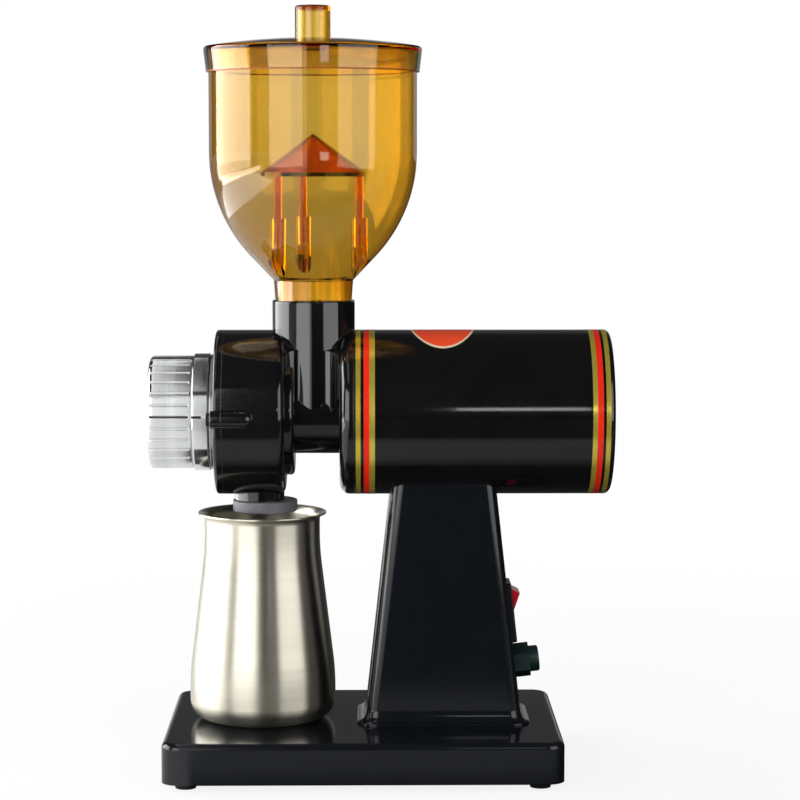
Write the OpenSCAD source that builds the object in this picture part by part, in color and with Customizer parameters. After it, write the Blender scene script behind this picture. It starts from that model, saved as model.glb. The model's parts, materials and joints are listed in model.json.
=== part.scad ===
// Electric coffee grinder: a horizontal motor on a column, a flat-burr grinding head in front of it,
// an amber bean hopper above the feed throat and a steel cup below the spout.
// X runs along the motor shaft with the dial at -X, Z is up and the table is at Z = 0.
// Inside this file X is counted from the hopper's axis; placed() then centres the machine on the origin.

/* [Base] */
// Length of the base along the machine
base_l = 195; // [180:1:220]
// Width of the base
base_w = 132; // [120:1:150]
// Height of the base housing without its feet
base_h = 20; // [18:0.5:26]
// Wall thickness of the base housing
base_wall = 3; // [2.5:0.1:4]
// Radius of the base's upright corners
base_corner_r = 9; // [7:0.5:12]
// Radius of the base's top edge
base_edge_r = 3; // [1.5:0.1:3.5]
// How far the base reaches in front of the hopper's axis
base_front = 73; // [68:1:80]
// Thickness of the closing plate under the base
plate_t = 1.5; // [1:0.1:2]

/* [Feet] */
// Diameter of a rubber foot where it meets the base
foot_d = 12; // [10:0.5:14]
// Height of a rubber foot
foot_h = 3.5; // [3:0.1:6]
// Distance of a foot's centre from the base's sides
foot_inset = 11.5; // [10:0.5:15]

/* [Column] */
// Length of the column along the machine where it stands on the base
column_base_l = 78; // [72:1:84]
// Length of the column along the machine where it carries the motor
column_top_l = 51.5; // [48:0.5:58]
// Width of the column across the machine
column_w = 46; // [42:1:52]
// Radius of the column's upright edges
column_edge_r = 6; // [4:0.5:8]
// Wall thickness of the column
column_wall = 3; // [2.5:0.1:4]
// Distance of the column's middle behind the hopper's axis
column_x = 64.5; // [60:0.5:70]
// How far the column's foot flange stands out
column_flange = 2.2; // [1:0.1:3]

/* [Motor] */
// Outside diameter of the motor barrel
motor_d = 82; // [78:0.5:88]
// Length of the motor over its end caps
motor_l = 134.5; // [130:0.5:150]
// Wall thickness of the motor barrel
motor_wall = 3.5; // [3:0.1:4]
// Distance of the motor's front face behind the hopper's axis
motor_front = 13; // [11:0.5:16]
// Radius of the front cap's edge
motor_front_edge_r = 5; // [2:0.5:6]
// Length of the stator's stack of laminations
stator_l = 44; // [36:1:46]
// Diameter of the stator's bore
stator_bore_d = 44; // [40:1:46]
// Number of slots in the stator
stator_slots = 18; // [12:1:24]
// Gap between the rotor and the stator
air_gap = 0.4; // [0.3:0.05:0.6]
// Length of the winding beyond each end of the stator
winding_l = 12; // [8:1:13]
// Diameter of the shaft
shaft_d = 10; // [9:0.5:11]
// Outside diameter of a ball bearing
bearing_d = 26; // [24:0.5:28]
// Width of a ball bearing
bearing_b = 8; // [7:0.5:9]
// Gap between the cooling fan's tips and the tie bolts
fan_gap = 2.7; // [2:0.1:6]
// Number of blades on the cooling fan
fan_blades = 9; // [6:1:12]

/* [Grinding head] */
// Room round the burrs inside the grinding chamber
chamber_gap = 6.5; // [5.5:0.1:8]
// Wall thickness around the grinding chamber
drum_wall = 4.5; // [4:0.1:6]
// Thickness of the chamber's rear wall
chamber_floor = 3.5; // [3:0.1:4]
// Radius of the drum's rear edge
drum_edge_r = 3.5; // [2:0.1:4]
// Thickness of the front cover
cover_t = 4.1; // [4:0.1:5]
// Diameter of the screw lugs on the drum's sides
lug_d = 8.7; // [8:0.1:10]
// Length of the lugs on the drum
lug_l = 15.7; // [14:0.1:18]
// How far the cover's lugs stand in front of the cover
lug_proud = 1.3; // [0.5:0.1:2]
// Diameter of the step between the drum and the feed neck
step_d = 63; // [58:1:66]
// Length of that step
step_l = 4.5; // [3:0.1:6]
// Outside diameter of the feed neck
neck_d = 41.4; // [40:0.2:44]
// Wall thickness of the feed neck
neck_wall = 3.7; // [3.5:0.1:4.5]
// Outside diameter of the hopper socket
socket_d = 41; // [40:0.2:44]
// Wall thickness of the socket's mouth
socket_wall = 2; // [1.8:0.1:2.6]
// Height of the socket's mouth above the motor barrel
socket_up = 15; // [14.5:0.5:19]
// Depth that the hopper's neck goes into the socket
socket_depth = 13.5; // [10:0.5:14]
// Radius of the webs that round the socket's foot into the drum and the motor
web_fillet_r = 6.4; // [5:0.1:7]
// Outside diameter of the spout
spout_d = 24.6; // [22:0.2:26]
// Bore of the spout
spout_bore_d = 20; // [16:0.2:20]
// Distance of the spout's axis in front of the hopper's axis
spout_x = 27.2; // [26.5:0.1:28]
// How much of the spout shows between the collar and the drum
spout_show = 3; // [2:0.1:8]
// Mean wall thickness of the grey collar on the spout
collar_wall = 3.8; // [3.7:0.1:5]
// Height of the collar
collar_h = 5.6; // [4:0.1:6]
// How far the collar's outside is off the spout's axis, towards the motor
collar_offset = 2.7; // [0:0.1:2.7]

/* [Burrs] */
// Diameter of the burrs
burr_d = 60; // [56:0.5:62]
// Thickness of each burr
burr_t = 5.5; // [5:0.1:5.8]
// Gap between the burrs at the dial's middle setting
burr_gap = 0.8; // [0.7:0.05:1]
// Number of teeth on each burr
burr_teeth = 12; // [8:1:18]

/* [Dial] */
// Diameter of the grooved knob
knob_d = 56.2; // [52:0.2:58]
// Length of the knob
knob_l = 22; // [18:0.5:28]
// Number of grooves round the knob
knob_grooves = 30; // [20:1:40]
// Radius of each groove
knob_groove_r = 0.85; // [0.5:0.05:1.2]
// Diameter of the plain dial ring behind the knob
dial_ring_d = 58.4; // [54:0.2:60]
// Length of the dial ring
dial_ring_l = 8.1; // [6:0.1:10]
// Diameter of the fixed index plate on the cover
index_plate_d = 57.4; // [52:0.2:60]
// Thickness of the fixed index plate
index_plate_t = 2.5; // [2:0.1:3]
// Diameter of the adjuster spindle
spindle_d = 10; // [9:0.2:11]

/* [Hopper] */
// Outside diameter of the hopper
hopper_d = 103; // [98:0.5:110]
// Wall thickness of the hopper
hopper_wall = 2.5; // [2:0.1:3]
// Length of the hopper's straight upper wall
hopper_straight = 49.4; // [44:0.1:60]
// Radius of the curve that draws the wall in
bowl_r = 75; // [60:0.5:80]
// Slope of the funnel below the curve, from the vertical
bowl_angle = 43.5; // [37:0.1:45]
// Outside diameter of the hopper's neck where the funnel ends
hopper_neck_d = 39.4; // [38.8:0.1:41]
// Height of the neck that shows above the socket
hopper_neck_h = 9.8; // [8:0.1:12]

/* [Lid] */
// How far the lid's rim stands out over the hopper
lid_overhang = 2.5; // [1.8:0.1:4]
// Height of the lid's skirt
lid_skirt_h = 12; // [9:0.5:15]
// Thickness of the lid
lid_t = 2.5; // [2:0.1:3]
// Rise of the lid's dome
lid_dome = 4; // [3:0.1:6]
// Diameter of the lid's knob
lid_knob_d = 17.6; // [15:0.2:20]
// Height of the lid's knob above the dome
lid_knob_h = 16; // [14:0.5:22]

/* [Bean guard] */
// Diameter of the guard's cone
guard_d = 52; // [48:0.5:56]
// Height of the guard's cone
guard_h = 19; // [17:0.5:24]
// Thickness of the cone
guard_t = 2; // [1.6:0.1:2.4]
// Number of legs under the cone
guard_legs = 3; // [3:1:4]
// Diameter of a leg
guard_leg_d = 4; // [3.5:0.1:4.5]
// Radius of the circle that the legs stand on
guard_leg_circle = 23.6; // [22.5:0.1:24]
// Direction of the first leg, seen from above
guard_turn = -16; // [-60:1:60]
// Outside diameter of the hopper's leg sockets
guard_socket_d = 8; // [7:0.1:9]
// Height of the sockets' tops above the funnel's foot
guard_socket_h = 31; // [28:0.5:34]
// Height of the cone's rim above the funnel's foot
guard_rim_h = 53.5; // [47:0.5:55]

/* [Cup] */
// Diameter of the cup's belly
cup_d = 73; // [68:0.5:78]
// Diameter of the cup's throat
cup_throat_d = 57.6; // [54:0.2:60]
// Diameter of the cup's flared rim
cup_rim_d = 64; // [62:0.2:66]
// Height of the cup
cup_h = 104; // [90:0.1:112]
// Wall thickness of the cup
cup_wall = 1; // [0.8:0.1:1.2]
// Radius of the cup's bottom edge
cup_foot_r = 9.5; // [7:0.5:11]
// Radius of the long curves between the belly and the throat
cup_sweep_r = 138; // [110:1:160]
// Height of the belly's widest place above the cup's foot
cup_belly_h = 15; // [12:0.5:18]
// Length of the cup's throat with its rim
cup_throat_l = 10; // [8:0.1:14]
// How far the cup stands behind the spout's axis
cup_shift = 1.2; // [-2:0.1:2]
// Gap between the cup's rim and the collar above it
cup_gap = 0.6; // [0.5:0.1:3]

/* [Switch] */
// Height of the switch's middle above the base
switch_up = 53.5; // [50:0.5:58]
// How far the bezel stands out round the switch's body
bezel_lip = 1.1; // [0.8:0.1:2]
// Thickness of the bezel
bezel_t = 2.5; // [1.5:0.1:2.5]
// Depth of the switch behind the column's face
switch_depth = 20; // [16:0.5:22]
// Length of the rocker from its pivot to its ends
rocker_r = 12.4; // [11:0.1:12.5]
// Width of the rocker
rocker_w = 15; // [13:0.1:15.2]
// Half of the rocker's swing
rocker_tilt = 12.5; // [10:0.5:14]

/* [Cable gland] */
// Height of the gland's middle above the base
gland_up = 28; // [26:0.5:29]
// Width of the gland's hexagon across its corners
gland_hex_d = 17.4; // [16:0.1:18]
// Length of the hexagon
gland_hex_l = 7.8; // [7:0.1:9]
// Diameter of the gland's cap
gland_cap_d = 13; // [12.6:0.1:14]
// Length of the cap beyond the hexagon
gland_cap_l = 4.8; // [2.5:0.1:6]
// Hole for the cable
cable_d = 7.2; // [6:0.1:7.4]

/* [Clearances] */
// Radial clearance of a turning fit
running = 0.05; // [0.02:0.01:0.08]
// Gap between parts that are fixed to each other
seat = 0.05; // [0.02:0.01:0.08]
// Gap between parts that pass each other
pass = 0.3; // [0.3:0.05:0.4]

/* [Hidden] */
$fn = 96;

// Small overlap that lets a cutter pass a face
cut = 1;

// Drum and throat of the grinding head
burr_r = burr_d / 2;
chamber_r = burr_r + chamber_gap;
drum_r = chamber_r + drum_wall;
plug_r = socket_d / 2 - socket_wall - pass;
plug_bore_r = plug_r - hopper_wall;
throat_step = 0.8;
throat_r = plug_bore_r + throat_step;
throat_wall = 1;
throat_ramp_h = 5.5;

// Heights: the head sits over the cup, and the motor's axis is the head's
base_top = foot_h + base_h;
collar_bottom = base_top + cup_h + cup_gap;
collar_floor_t = 1.2;
spout_bottom = collar_bottom + collar_floor_t;
axis_z = collar_bottom + collar_h + spout_show + drum_r;
socket_top = axis_z + motor_d / 2 + socket_up;
socket_floor = socket_top - socket_depth;
switch_z = base_top + switch_up;
gland_z = base_top + gland_up;

// Grinding chamber, from its rear wall to its cover
hub_room = 2.2;
hub_t = 4.8;
carrier_t = 4.5;
carrier_room = 3.6;
chamber_back = -(throat_r + throat_wall);
drum_back = chamber_back + chamber_floor;
hub_back = chamber_back - hub_room;
hub_front = hub_back - hub_t;
rotating_front = hub_front - burr_t;
stationary_front = rotating_front - burr_gap - burr_t;
carrier_front = stationary_front - carrier_t;
drum_front = carrier_front - carrier_room;
drum_l = drum_back - drum_front;

// Places along the machine, from the hopper's axis
motor_rear = motor_front + motor_l;
cover_front = drum_front - cover_t;
index_front = cover_front - index_plate_t;
knob_back = index_front - pass - dial_ring_l;
knob_front = knob_back - knob_l;
machine_x = -(motor_rear + knob_front) / 2;
base_mid_x = base_l / 2 - base_front;
cup_x = spout_x - cup_shift;

// Motor inside
barrel_bore_r = motor_d / 2 - motor_wall;
cap_plate_t = 4;
front_cap_l = 7;
spigot_l = 6;
spigot_wall = 4.5;
cap_cup_r = barrel_bore_r - spigot_wall;
barrel_front = motor_front + front_cap_l;
rear_rim_l = 3.5;
barrel_rear = motor_rear - rear_rim_l;
rear_edge_r = 3;
tie_head_h = 1.6;
tie_head_sink = 2;
bearing_boss_wall = 2;
bearing_boss_r = bearing_d / 2 + bearing_boss_wall;
front_bearing_x = motor_front + cap_plate_t;
rear_boss_room = 8.5;
rear_boss_l = bearing_b + rear_boss_room;
rear_bearing_x = motor_rear - cap_plate_t - rear_boss_l;
winding_room = 3;
stator_front = barrel_front + spigot_l + winding_l + winding_room;
stator_rear = stator_front + stator_l;
winding_step = 2;
winding_in_r = stator_bore_d / 2 + winding_step;
winding_edge = 3;
rotor_end_l = 5;
tie_r = 1.5;
tie_circle = barrel_bore_r - spigot_wall / 2;
tie_bolts_n = 4;
tie_turn = 45;
shaft_r = shaft_d / 2;
shaft_past_bearing = 1;
shaft_end = rear_bearing_x + bearing_b + shaft_past_bearing;
shaft_end_room = 1.5;
shaft_room = 1.2;
shaft_hole_r = shaft_r + shaft_room;
fan_r = tie_circle - tie_r - fan_gap;
fan_l = 11;
// The fan turns midway between the winding's end and the rear bearing
fan_x = (stator_rear + winding_l + rear_bearing_x - fan_l) / 2;

// Burrs, their fasteners and the carrier
burr_bore_r = 15.5;
feed_bore_step = 3.5;
plate_rim = 3;
plate_r = burr_r + plate_rim;
sweeper_gap = 0.8;
burr_screws_n = 3;
burr_screw_r = 2;
burr_screw_in = 7.2;
burr_screw_circle = burr_r - burr_screw_in;
burr_screw_turn = 60;
burr_screw_head_r = 3.4;
burr_screw_head_h = 1.8;
burr_screw_sink = 3;
boss_l = 2.2;
boss_wall = 4;
boss_r = spindle_d / 2 + boss_wall;
guide_r = 2;
guide_in = 3;
guide_circle = burr_r - guide_in;
guides_n = 3;
guide_hold = 2.6;
guide_short = 0.9;
guide_back = stationary_front - guide_short;
spring_wire_r = 0.4;
spring_room_r = 0.7;
spring_r = guide_r + spring_room_r + spring_wire_r;
spring_turns = 1.75;
spring_room = 0.1;
spindle_flange_w = 3;
spindle_flange_r = spindle_d / 2 + spindle_flange_w;
spindle_flange_t = 1.7;
spindle_flange_room = 0.1;
spindle_short = 1.9;
spindle_end = stationary_front - spindle_short;
nut_wall = 1.5;
nut_af = shaft_d + 2 * nut_wall;
nut_h = 4.6;
shaft_thread_step = 1;
shaft_thread_r = shaft_r - shaft_thread_step;
shaft_thread_proud = 1;
shaft_thread_l = nut_h + shaft_thread_proud;

// Feed neck
web_land = 0.8;
web_sink = 0.05;
web_top_r = drum_r - drum_edge_r;
neck_bore_r = neck_d / 2 - neck_wall;
neck_end_t = 4;
neck_bore_end = motor_front - neck_end_t;
auger_hub_wall = 3;
auger_hub_r = shaft_r + auger_hub_wall;
auger_room = 0.6;
auger_r = neck_bore_r - auger_room;
auger_end_room = 0.5;
auger_back = neck_bore_end - auger_end_room;
auger_flight_t = 4.5;
seal_wall = 4;
seal_r = shaft_r + seal_wall;
seal_l = 2.5;
neck_screw_r = 1.5;
neck_screw_hold = 9;
neck_screw_head_r = 2.4;
neck_screw_head_h = 2.2;
neck_screw_circle = (neck_d / 2 + neck_bore_r) / 2;
neck_screws_n = 4;
neck_screw_turn = 45;
hole_tip = 1;

// Cover and dial
lip_l = 2;
lip_wall = 2.4;
cover_edge_r = 1.5;
cover_screw_r = 2;
cover_screw_hold = 10;
cover_screw_head_r = 3.3;
cover_screw_head_h = 1.6;
cover_screw_socket_r = 1.7;
index_screw_r = 1.5;
index_screw_hold = 2.4;
index_screw_head_r = 2.8;
index_screw_head_h = 1.3;
index_screw_sink = 1.5;
index_screw_out = 11;
index_screw_circle = spindle_d / 2 + index_screw_out;
knob_cap_r = 14;
knob_cap_t = 2;
knob_web = 2;
knob_screw_r = 2.5;
knob_screw_l = 14;
knob_screw_head_r = 4.4;
knob_screw_head_h = 3;
knob_edge_r = 2.5;
dial_soft_r = 0.5;
knob_rear_land = 1.5;
screw_head_room = 0.4;
screw_pocket_l = knob_cap_t + knob_screw_head_h + screw_head_room;
spindle_front = knob_front + screw_pocket_l + knob_web;

// Hopper outline
plug_shoulder = 0.8;
funnel_foot = socket_top + hopper_neck_h;
funnel_foot_r = hopper_neck_d / 2;
bowl_centre_r = hopper_d / 2 - bowl_r;
bowl_end_r = bowl_centre_r + bowl_r * cos(bowl_angle);
bowl_end = funnel_foot + (bowl_end_r - funnel_foot_r) / tan(bowl_angle);
bowl_start = bowl_end + bowl_r * sin(bowl_angle);
hopper_rim = bowl_start + hopper_straight;
guard_socket_top = funnel_foot + guard_socket_h;
guard_rim = funnel_foot + guard_rim_h;
leg_hold = 13;

// Lid outline
lid_r = hopper_d / 2 + lid_overhang;
lid_top = hopper_rim + lid_t;
lid_peak = lid_top + lid_dome;
lid_skirt_bottom = lid_top - lid_skirt_h;
lid_skirt_draw = 1.2;
lid_edge_r = 1.8;
lid_crown_r = lid_r - lid_edge_r;
lid_ball_r = (lid_crown_r * lid_crown_r + lid_dome * lid_dome) / (2 * lid_dome);
lid_knob_wall = 2.2;
lid_knob_edge_r = 1.5;

// Cup outline: two long curves joined by their common tangent
cup_rise = cup_h - cup_throat_l - cup_belly_h;
cup_reach = 2 * cup_sweep_r - (cup_d - cup_throat_d) / 2;
cup_slope = atan2(cup_rise, cup_reach) - acos(2 * cup_sweep_r / norm([cup_reach, cup_rise]));
cup_rim_t = 0.8;

// Column
column_saddle_t = 6;
column_lap = 1;
column_top = axis_z - sqrt(pow(motor_d / 2, 2) - pow(column_w / 2, 2)) + column_lap;
column_lean = atan((column_base_l - column_top_l) / 2 / (column_top - base_top));
column_roof = axis_z - motor_d / 2 - column_saddle_t;
column_post_r = 5;
column_post_h = 18;
column_post_shift = 1;
column_post_x = column_base_l / 2 - column_wall - column_post_r - column_post_shift;
column_post_y = column_w / 2 - column_wall - column_post_r + column_post_shift;
column_screw_r = 2.4;
column_screw_head_r = 4;
column_screw_head_h = 3;
column_screw_l = 14;
column_flange_t = 1.6;
saddle_bolt_r = 2;
saddle_bolt_head_r = 3.6;
saddle_bolt_head_h = 3;
saddle_bolt_short = 0.4;
saddle_bolt_x = column_top_l / 3;

// Switch
pivot_out = 0.6;
pivot_x = pivot_out - bezel_t;
rocker_crown = 3.7;
rocker_back = 2.9;
rocker_pin_r = 1.5;
switch_wall = 1.2;
pocket_h = 2 * (rocker_r + pass);
pocket_w = rocker_w + 2 * pass;
pocket_depth = 9;
switch_body_h = pocket_h + 2 * switch_wall;
switch_body_w = pocket_w + 2 * switch_wall;
pin_hole_l = pocket_w + switch_wall;
bezel_corner_r = 1.5;
bezel_edge_r = 0.8;
terminal_l = 8;
terminal_w = 6.3;
terminal_t = 0.8;

// Cable gland
gland_thread_r = 6;
gland_tail = 6;
gland_inner_l = column_wall + gland_tail;
gland_nut_t = 4;
gland_bore_room = 0.9;
gland_bore_r = cable_d / 2 + gland_bore_room;
gland_thread_wall = 1;
gland_seal_r = gland_thread_r - gland_thread_wall;
gland_seal_in = 4.2;
gland_lip_t = 1;

// Electrical parts inside the column
capacitor_r = 13;
capacitor_h = 34;
capacitor_shift = 1;
capacitor_x = column_x - capacitor_shift;
stud_r = 4;
stud_below = 6;
stud_l = base_wall + stud_below;
capacitor_nut_h = 4;
capacitor_nut_r = 7.5;
block_l = 12;
block_w = 20;
block_h = 14;
block_shift = 22;
block_x = column_x - block_shift;
block_poles = 3;
block_screw_r = 1.6;
block_wire_r = 1.4;

// Fasteners of the base
foot_screw_r = 1.8;
foot_screw_head_r = 3.2;
foot_screw_head_h = 1.6;
foot_screw_sink = 2;
foot_screw_hold = 9.5;
foot_taper = 1;
foot_post_r = 5;

// Place of the column's rear face at a height
function column_rear(z) = column_x + column_top_l / 2 + (column_top - z) * tan(column_lean);
function foot_places() = [for (x = [foot_inset - base_front, base_l - base_front - foot_inset],
    y = [-1, 1]) [x, y * (base_w / 2 - foot_inset)]];
function column_screw_places() = [for (x = [-1, 1], y = [-1, 1])
    [column_x + x * column_post_x, y * column_post_y]];

// Moves the machine so that its box is centred over the origin
module placed() { translate([machine_x, 0, 0]) children(); }

// Turns a shape so that its own Z runs along the shaft, starting at x
module on_shaft(x) { translate([x, 0, axis_z]) rotate([0, 90, 0]) children(); }

// The same on the axes of the two lugs at the drum's sides
module on_lugs(x) { for (side = [-1, 1]) translate([0, side * drum_r, 0]) on_shaft(x) children(); }

// Puts a shape on the column's sloping rear face: its own X points out of the face
module on_rear_face(z) {
    translate([column_rear(z), 0, z]) rotate([0, -column_lean, 0]) children();
}

// The same for a round shape, whose own Z points out of the face
module out_of_rear_face(z) { on_rear_face(z) rotate([0, 90, 0]) children(); }

// Copies of a shape round its own Z
module ring_of(n, r, turn = 0) {
    for (i = [0 : n - 1]) rotate(turn + i * 360 / n) translate([r, 0, 0]) children();
}

module ring(r_out, r_in, l) {
    difference() {
        cylinder(r = r_out, h = l);
        translate([0, 0, -cut]) cylinder(r = r_in, h = l + 2 * cut);
    }
}

// What a rounded corner of radius e takes away
module corner_nick(e) {
    difference() {
        square(e + cut);
        circle(e);
    }
}

// Disc whose lower and upper edges are rounded
module round_disc(r, h, low = 0, high = 0) {
    rotate_extrude() difference() {
        square([r, h]);
        if (low > 0) translate([r - low, low]) mirror([0, 1]) corner_nick(low);
        if (high > 0) translate([r - high, h - high]) corner_nick(high);
    }
}

module rounded_rect(l, w, r) {
    square([l, w - 2 * r], center = true);
    square([l - 2 * r, w], center = true);
    for (x = [-1, 1], y = [-1, 1]) translate([x * (l / 2 - r), y * (w / 2 - r)]) circle(r);
}

// Quarter of a disc, the section of a rounded edge
module quarter(e) {
    intersection() {
        circle(e);
        square(e);
    }
}

// Slab with rounded upright corners and a rounded top edge
module soft_slab(l, w, h, r, e) {
    linear_extrude(h - e) rounded_rect(l, w, r);
    translate([0, 0, h - e]) linear_extrude(e) rounded_rect(l - 2 * e, w - 2 * e, r - e);
    for (side = [0, 180]) rotate(side) {
        translate([r - l / 2, w / 2 - e, h - e]) rotate([90, 0, 90]) linear_extrude(l - 2 * r) quarter(e);
        translate([l / 2 - e, w / 2 - r, h - e]) rotate([90, 0, 0]) linear_extrude(w - 2 * r) quarter(e);
    }
    for (i = [0 : 3])
        translate([(i == 0 || i == 3 ? 1 : -1) * (l / 2 - r), (i < 2 ? 1 : -1) * (w / 2 - r), h - e])
            rotate(90 * i) rotate_extrude(angle = 90) translate([r - e, 0]) quarter(e);
}

// Screw with its head below Z = 0 and its shank above
module screw(r, l, head_r, head_h) {
    cylinder(r = r, h = l);
    translate([0, 0, -head_h]) cylinder(r = head_r, h = head_h);
}

module base_housing() {
    color("#15171a") difference() {
        union() {
            difference() {
                translate([base_mid_x, 0, foot_h])
                    soft_slab(base_l, base_w, base_h, base_corner_r, base_edge_r);
                translate([base_mid_x, 0, foot_h - cut]) linear_extrude(base_h - base_wall + cut)
                    rounded_rect(base_l - 2 * base_wall, base_w - 2 * base_wall, base_corner_r - base_wall);
            }
            for (p = foot_places()) translate([p[0], p[1], foot_h + plate_t])
                cylinder(r = foot_post_r, h = base_h - base_wall - plate_t);
        }
        for (p = foot_places()) translate([p[0], p[1], foot_h])
            cylinder(r = foot_screw_r + seat, h = plate_t + foot_screw_hold + hole_tip);
        for (p = column_screw_places()) translate([p[0], p[1], base_top - base_wall - cut])
            cylinder(r = column_screw_r + pass, h = base_wall + 2 * cut);
        translate([capacitor_x, 0, base_top - base_wall - cut])
            cylinder(r = stud_r + pass, h = base_wall + 2 * cut);
    }
}

module base_plate() {
    margin = base_wall + seat;
    color("#2b2d30") difference() {
        translate([base_mid_x, 0, foot_h]) linear_extrude(plate_t)
            rounded_rect(base_l - 2 * margin, base_w - 2 * margin, base_corner_r - margin);
        for (p = foot_places()) translate([p[0], p[1], foot_h - cut])
            cylinder(r = foot_screw_r + pass, h = plate_t + 2 * cut);
    }
}

module rubber_feet() {
    color("#0d0d0e") for (p = foot_places()) translate([p[0], p[1], 0]) difference() {
        cylinder(r1 = foot_d / 2 - foot_taper, r2 = foot_d / 2, h = foot_h);
        translate([0, 0, -cut]) cylinder(r = foot_screw_head_r + pass, h = foot_screw_sink + cut);
        cylinder(r = foot_screw_r + pass, h = foot_h + cut);
    }
}

module foot_screws() {
    shank = foot_h - foot_screw_sink + plate_t + foot_screw_hold;
    color("silver") for (p = foot_places()) translate([p[0], p[1], foot_screw_sink])
        screw(foot_screw_r, shank, foot_screw_head_r, foot_screw_head_h);
}

// The column's tapering block between two heights, drawn in by an inset
module column_block(inset, bottom, top) {
    slice = 0.2;
    half_w = column_w / 2 - inset;
    r = max(column_edge_r - inset, 1);
    hull() for (z = [bottom, top - slice], x = [-1, 1], y = [-1, 1])
        translate([column_x + x * (column_rear(z + slice) - column_x - inset - r), y * (half_w - r), z])
            cylinder(r = r, h = slice, $fn = 32);
}

module column() {
    flange_l = column_base_l + 2 * column_flange;
    flange_w = column_w + 2 * column_flange;
    color("#14171b") difference() {
        union() {
            difference() {
                union() {
                    column_block(0, base_top, column_top);
                    translate([column_x, 0, base_top]) linear_extrude(column_flange_t)
                        rounded_rect(flange_l, flange_w, column_edge_r + column_flange);
                }
                column_block(column_wall, base_top - cut, column_roof);
            }
            intersection() {
                for (p = column_screw_places()) translate([p[0], p[1], base_top])
                    cylinder(r = column_post_r, h = column_post_h);
                column_block(0, base_top, column_top);
            }
        }
        on_shaft(0) cylinder(r = motor_d / 2 + seat, h = 2 * motor_l);
        for (p = column_screw_places()) translate([p[0], p[1], base_top - cut])
            cylinder(r = column_screw_r + seat, h = column_screw_l + cut);
        for (x = [-1, 1]) translate([column_x + x * saddle_bolt_x, 0, column_roof - cut])
            cylinder(r = saddle_bolt_r + pass, h = motor_d / 2);
        on_rear_face(switch_z) translate([-switch_depth / 2, 0, 0])
            cube([switch_depth + cut, switch_body_w + 2 * seat, switch_body_h + 2 * seat], center = true);
        out_of_rear_face(gland_z) translate([0, 0, -gland_inner_l])
            cylinder(r = gland_thread_r + seat, h = gland_inner_l + cut);
    }
}

module column_screws() {
    shank = base_wall + column_screw_l - hole_tip;
    color("silver") for (p = column_screw_places()) translate([p[0], p[1], base_top - base_wall])
        screw(column_screw_r, shank, column_screw_head_r, column_screw_head_h);
}

module saddle_bolts() {
    shank = column_saddle_t + motor_wall - saddle_bolt_short;
    color("silver") for (x = [-1, 1]) translate([column_x + x * saddle_bolt_x, 0, column_roof])
        screw(saddle_bolt_r, shank, saddle_bolt_head_r, saddle_bolt_head_h);
}

module switch_housing() {
    bezel_h = switch_body_h + 2 * bezel_lip;
    bezel_w = switch_body_w + 2 * bezel_lip;
    color("#0b0b0c") on_rear_face(switch_z) difference() {
        union() {
            translate([-switch_depth, -switch_body_w / 2, -switch_body_h / 2])
                cube([switch_depth, switch_body_w, switch_body_h]);
            rotate([0, 90, 0]) soft_slab(bezel_h, bezel_w, bezel_t, bezel_corner_r, bezel_edge_r);
        }
        translate([-pocket_depth, -pocket_w / 2, -pocket_h / 2])
            cube([pocket_depth + bezel_t + cut, pocket_w, pocket_h]);
        translate([pivot_x, 0, 0]) rotate([90, 0, 0])
            cylinder(r = rocker_pin_r + running, h = pin_hole_l, center = true);
    }
}

// Side outline of the rocker, whose face is two shallow slopes, tipped to the side where it rests
module rocker_outline() {
    reach = rocker_r + cut;
    rise = reach * tan(rocker_tilt);
    rotate(-rocker_tilt) intersection() {
        circle(rocker_r);
        polygon([[-rocker_back, -reach], [rocker_crown + rise, -reach], [rocker_crown, 0],
            [rocker_crown + rise, reach], [-rocker_back, reach]]);
    }
}

module switch_rocker() {
    pin_l = pin_hole_l - switch_wall / 4;
    color("#c8102e") on_rear_face(switch_z) translate([pivot_x, 0, 0]) rotate([90, 0, 0]) {
        linear_extrude(rocker_w, center = true) rocker_outline();
        cylinder(r = rocker_pin_r, h = pin_l, center = true);
    }
}

module switch_terminals() {
    color("#b8963a") on_rear_face(switch_z) for (y = [-1, 1], z = [-1, 1])
        translate([-switch_depth - terminal_l, y * switch_body_w / 4 - terminal_t / 2,
            z * switch_body_h / 4 - terminal_w / 2])
            cube([terminal_l, terminal_t, terminal_w]);
}

module gland_body() {
    color("#10201f") out_of_rear_face(gland_z) difference() {
        union() {
            cylinder(r = gland_hex_d / 2, h = gland_hex_l, $fn = 6);
            translate([0, 0, -gland_inner_l]) cylinder(r = gland_thread_r, h = gland_inner_l);
        }
        translate([0, 0, -gland_inner_l - cut])
            cylinder(r = gland_bore_r, h = gland_inner_l + gland_hex_l + 2 * cut);
        translate([0, 0, gland_hex_l - gland_seal_in]) cylinder(r = gland_seal_r, h = gland_seal_in + cut);
    }
}

module gland_cap() {
    cap_edge_r = 1.2;
    color("#0c1716") out_of_rear_face(gland_z) translate([0, 0, gland_hex_l]) difference() {
        round_disc(gland_cap_d / 2, gland_cap_l, 0, cap_edge_r);
        translate([0, 0, -cut]) cylinder(r = gland_seal_r, h = gland_cap_l - gland_lip_t + cut);
        cylinder(r = gland_bore_r, h = gland_cap_l + cut);
    }
}

module gland_seal() {
    color("#050505") out_of_rear_face(gland_z) translate([0, 0, gland_hex_l - gland_seal_in])
        ring(gland_seal_r - seat, cable_d / 2, gland_seal_in + gland_cap_l - gland_lip_t);
}

module gland_lock_nut() {
    color("#10201f") out_of_rear_face(gland_z) translate([0, 0, -column_wall - gland_nut_t]) difference() {
        cylinder(r = gland_hex_d / 2, h = gland_nut_t, $fn = 6);
        translate([0, 0, -cut]) cylinder(r = gland_thread_r + seat, h = gland_nut_t + 2 * cut);
    }
}

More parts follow.
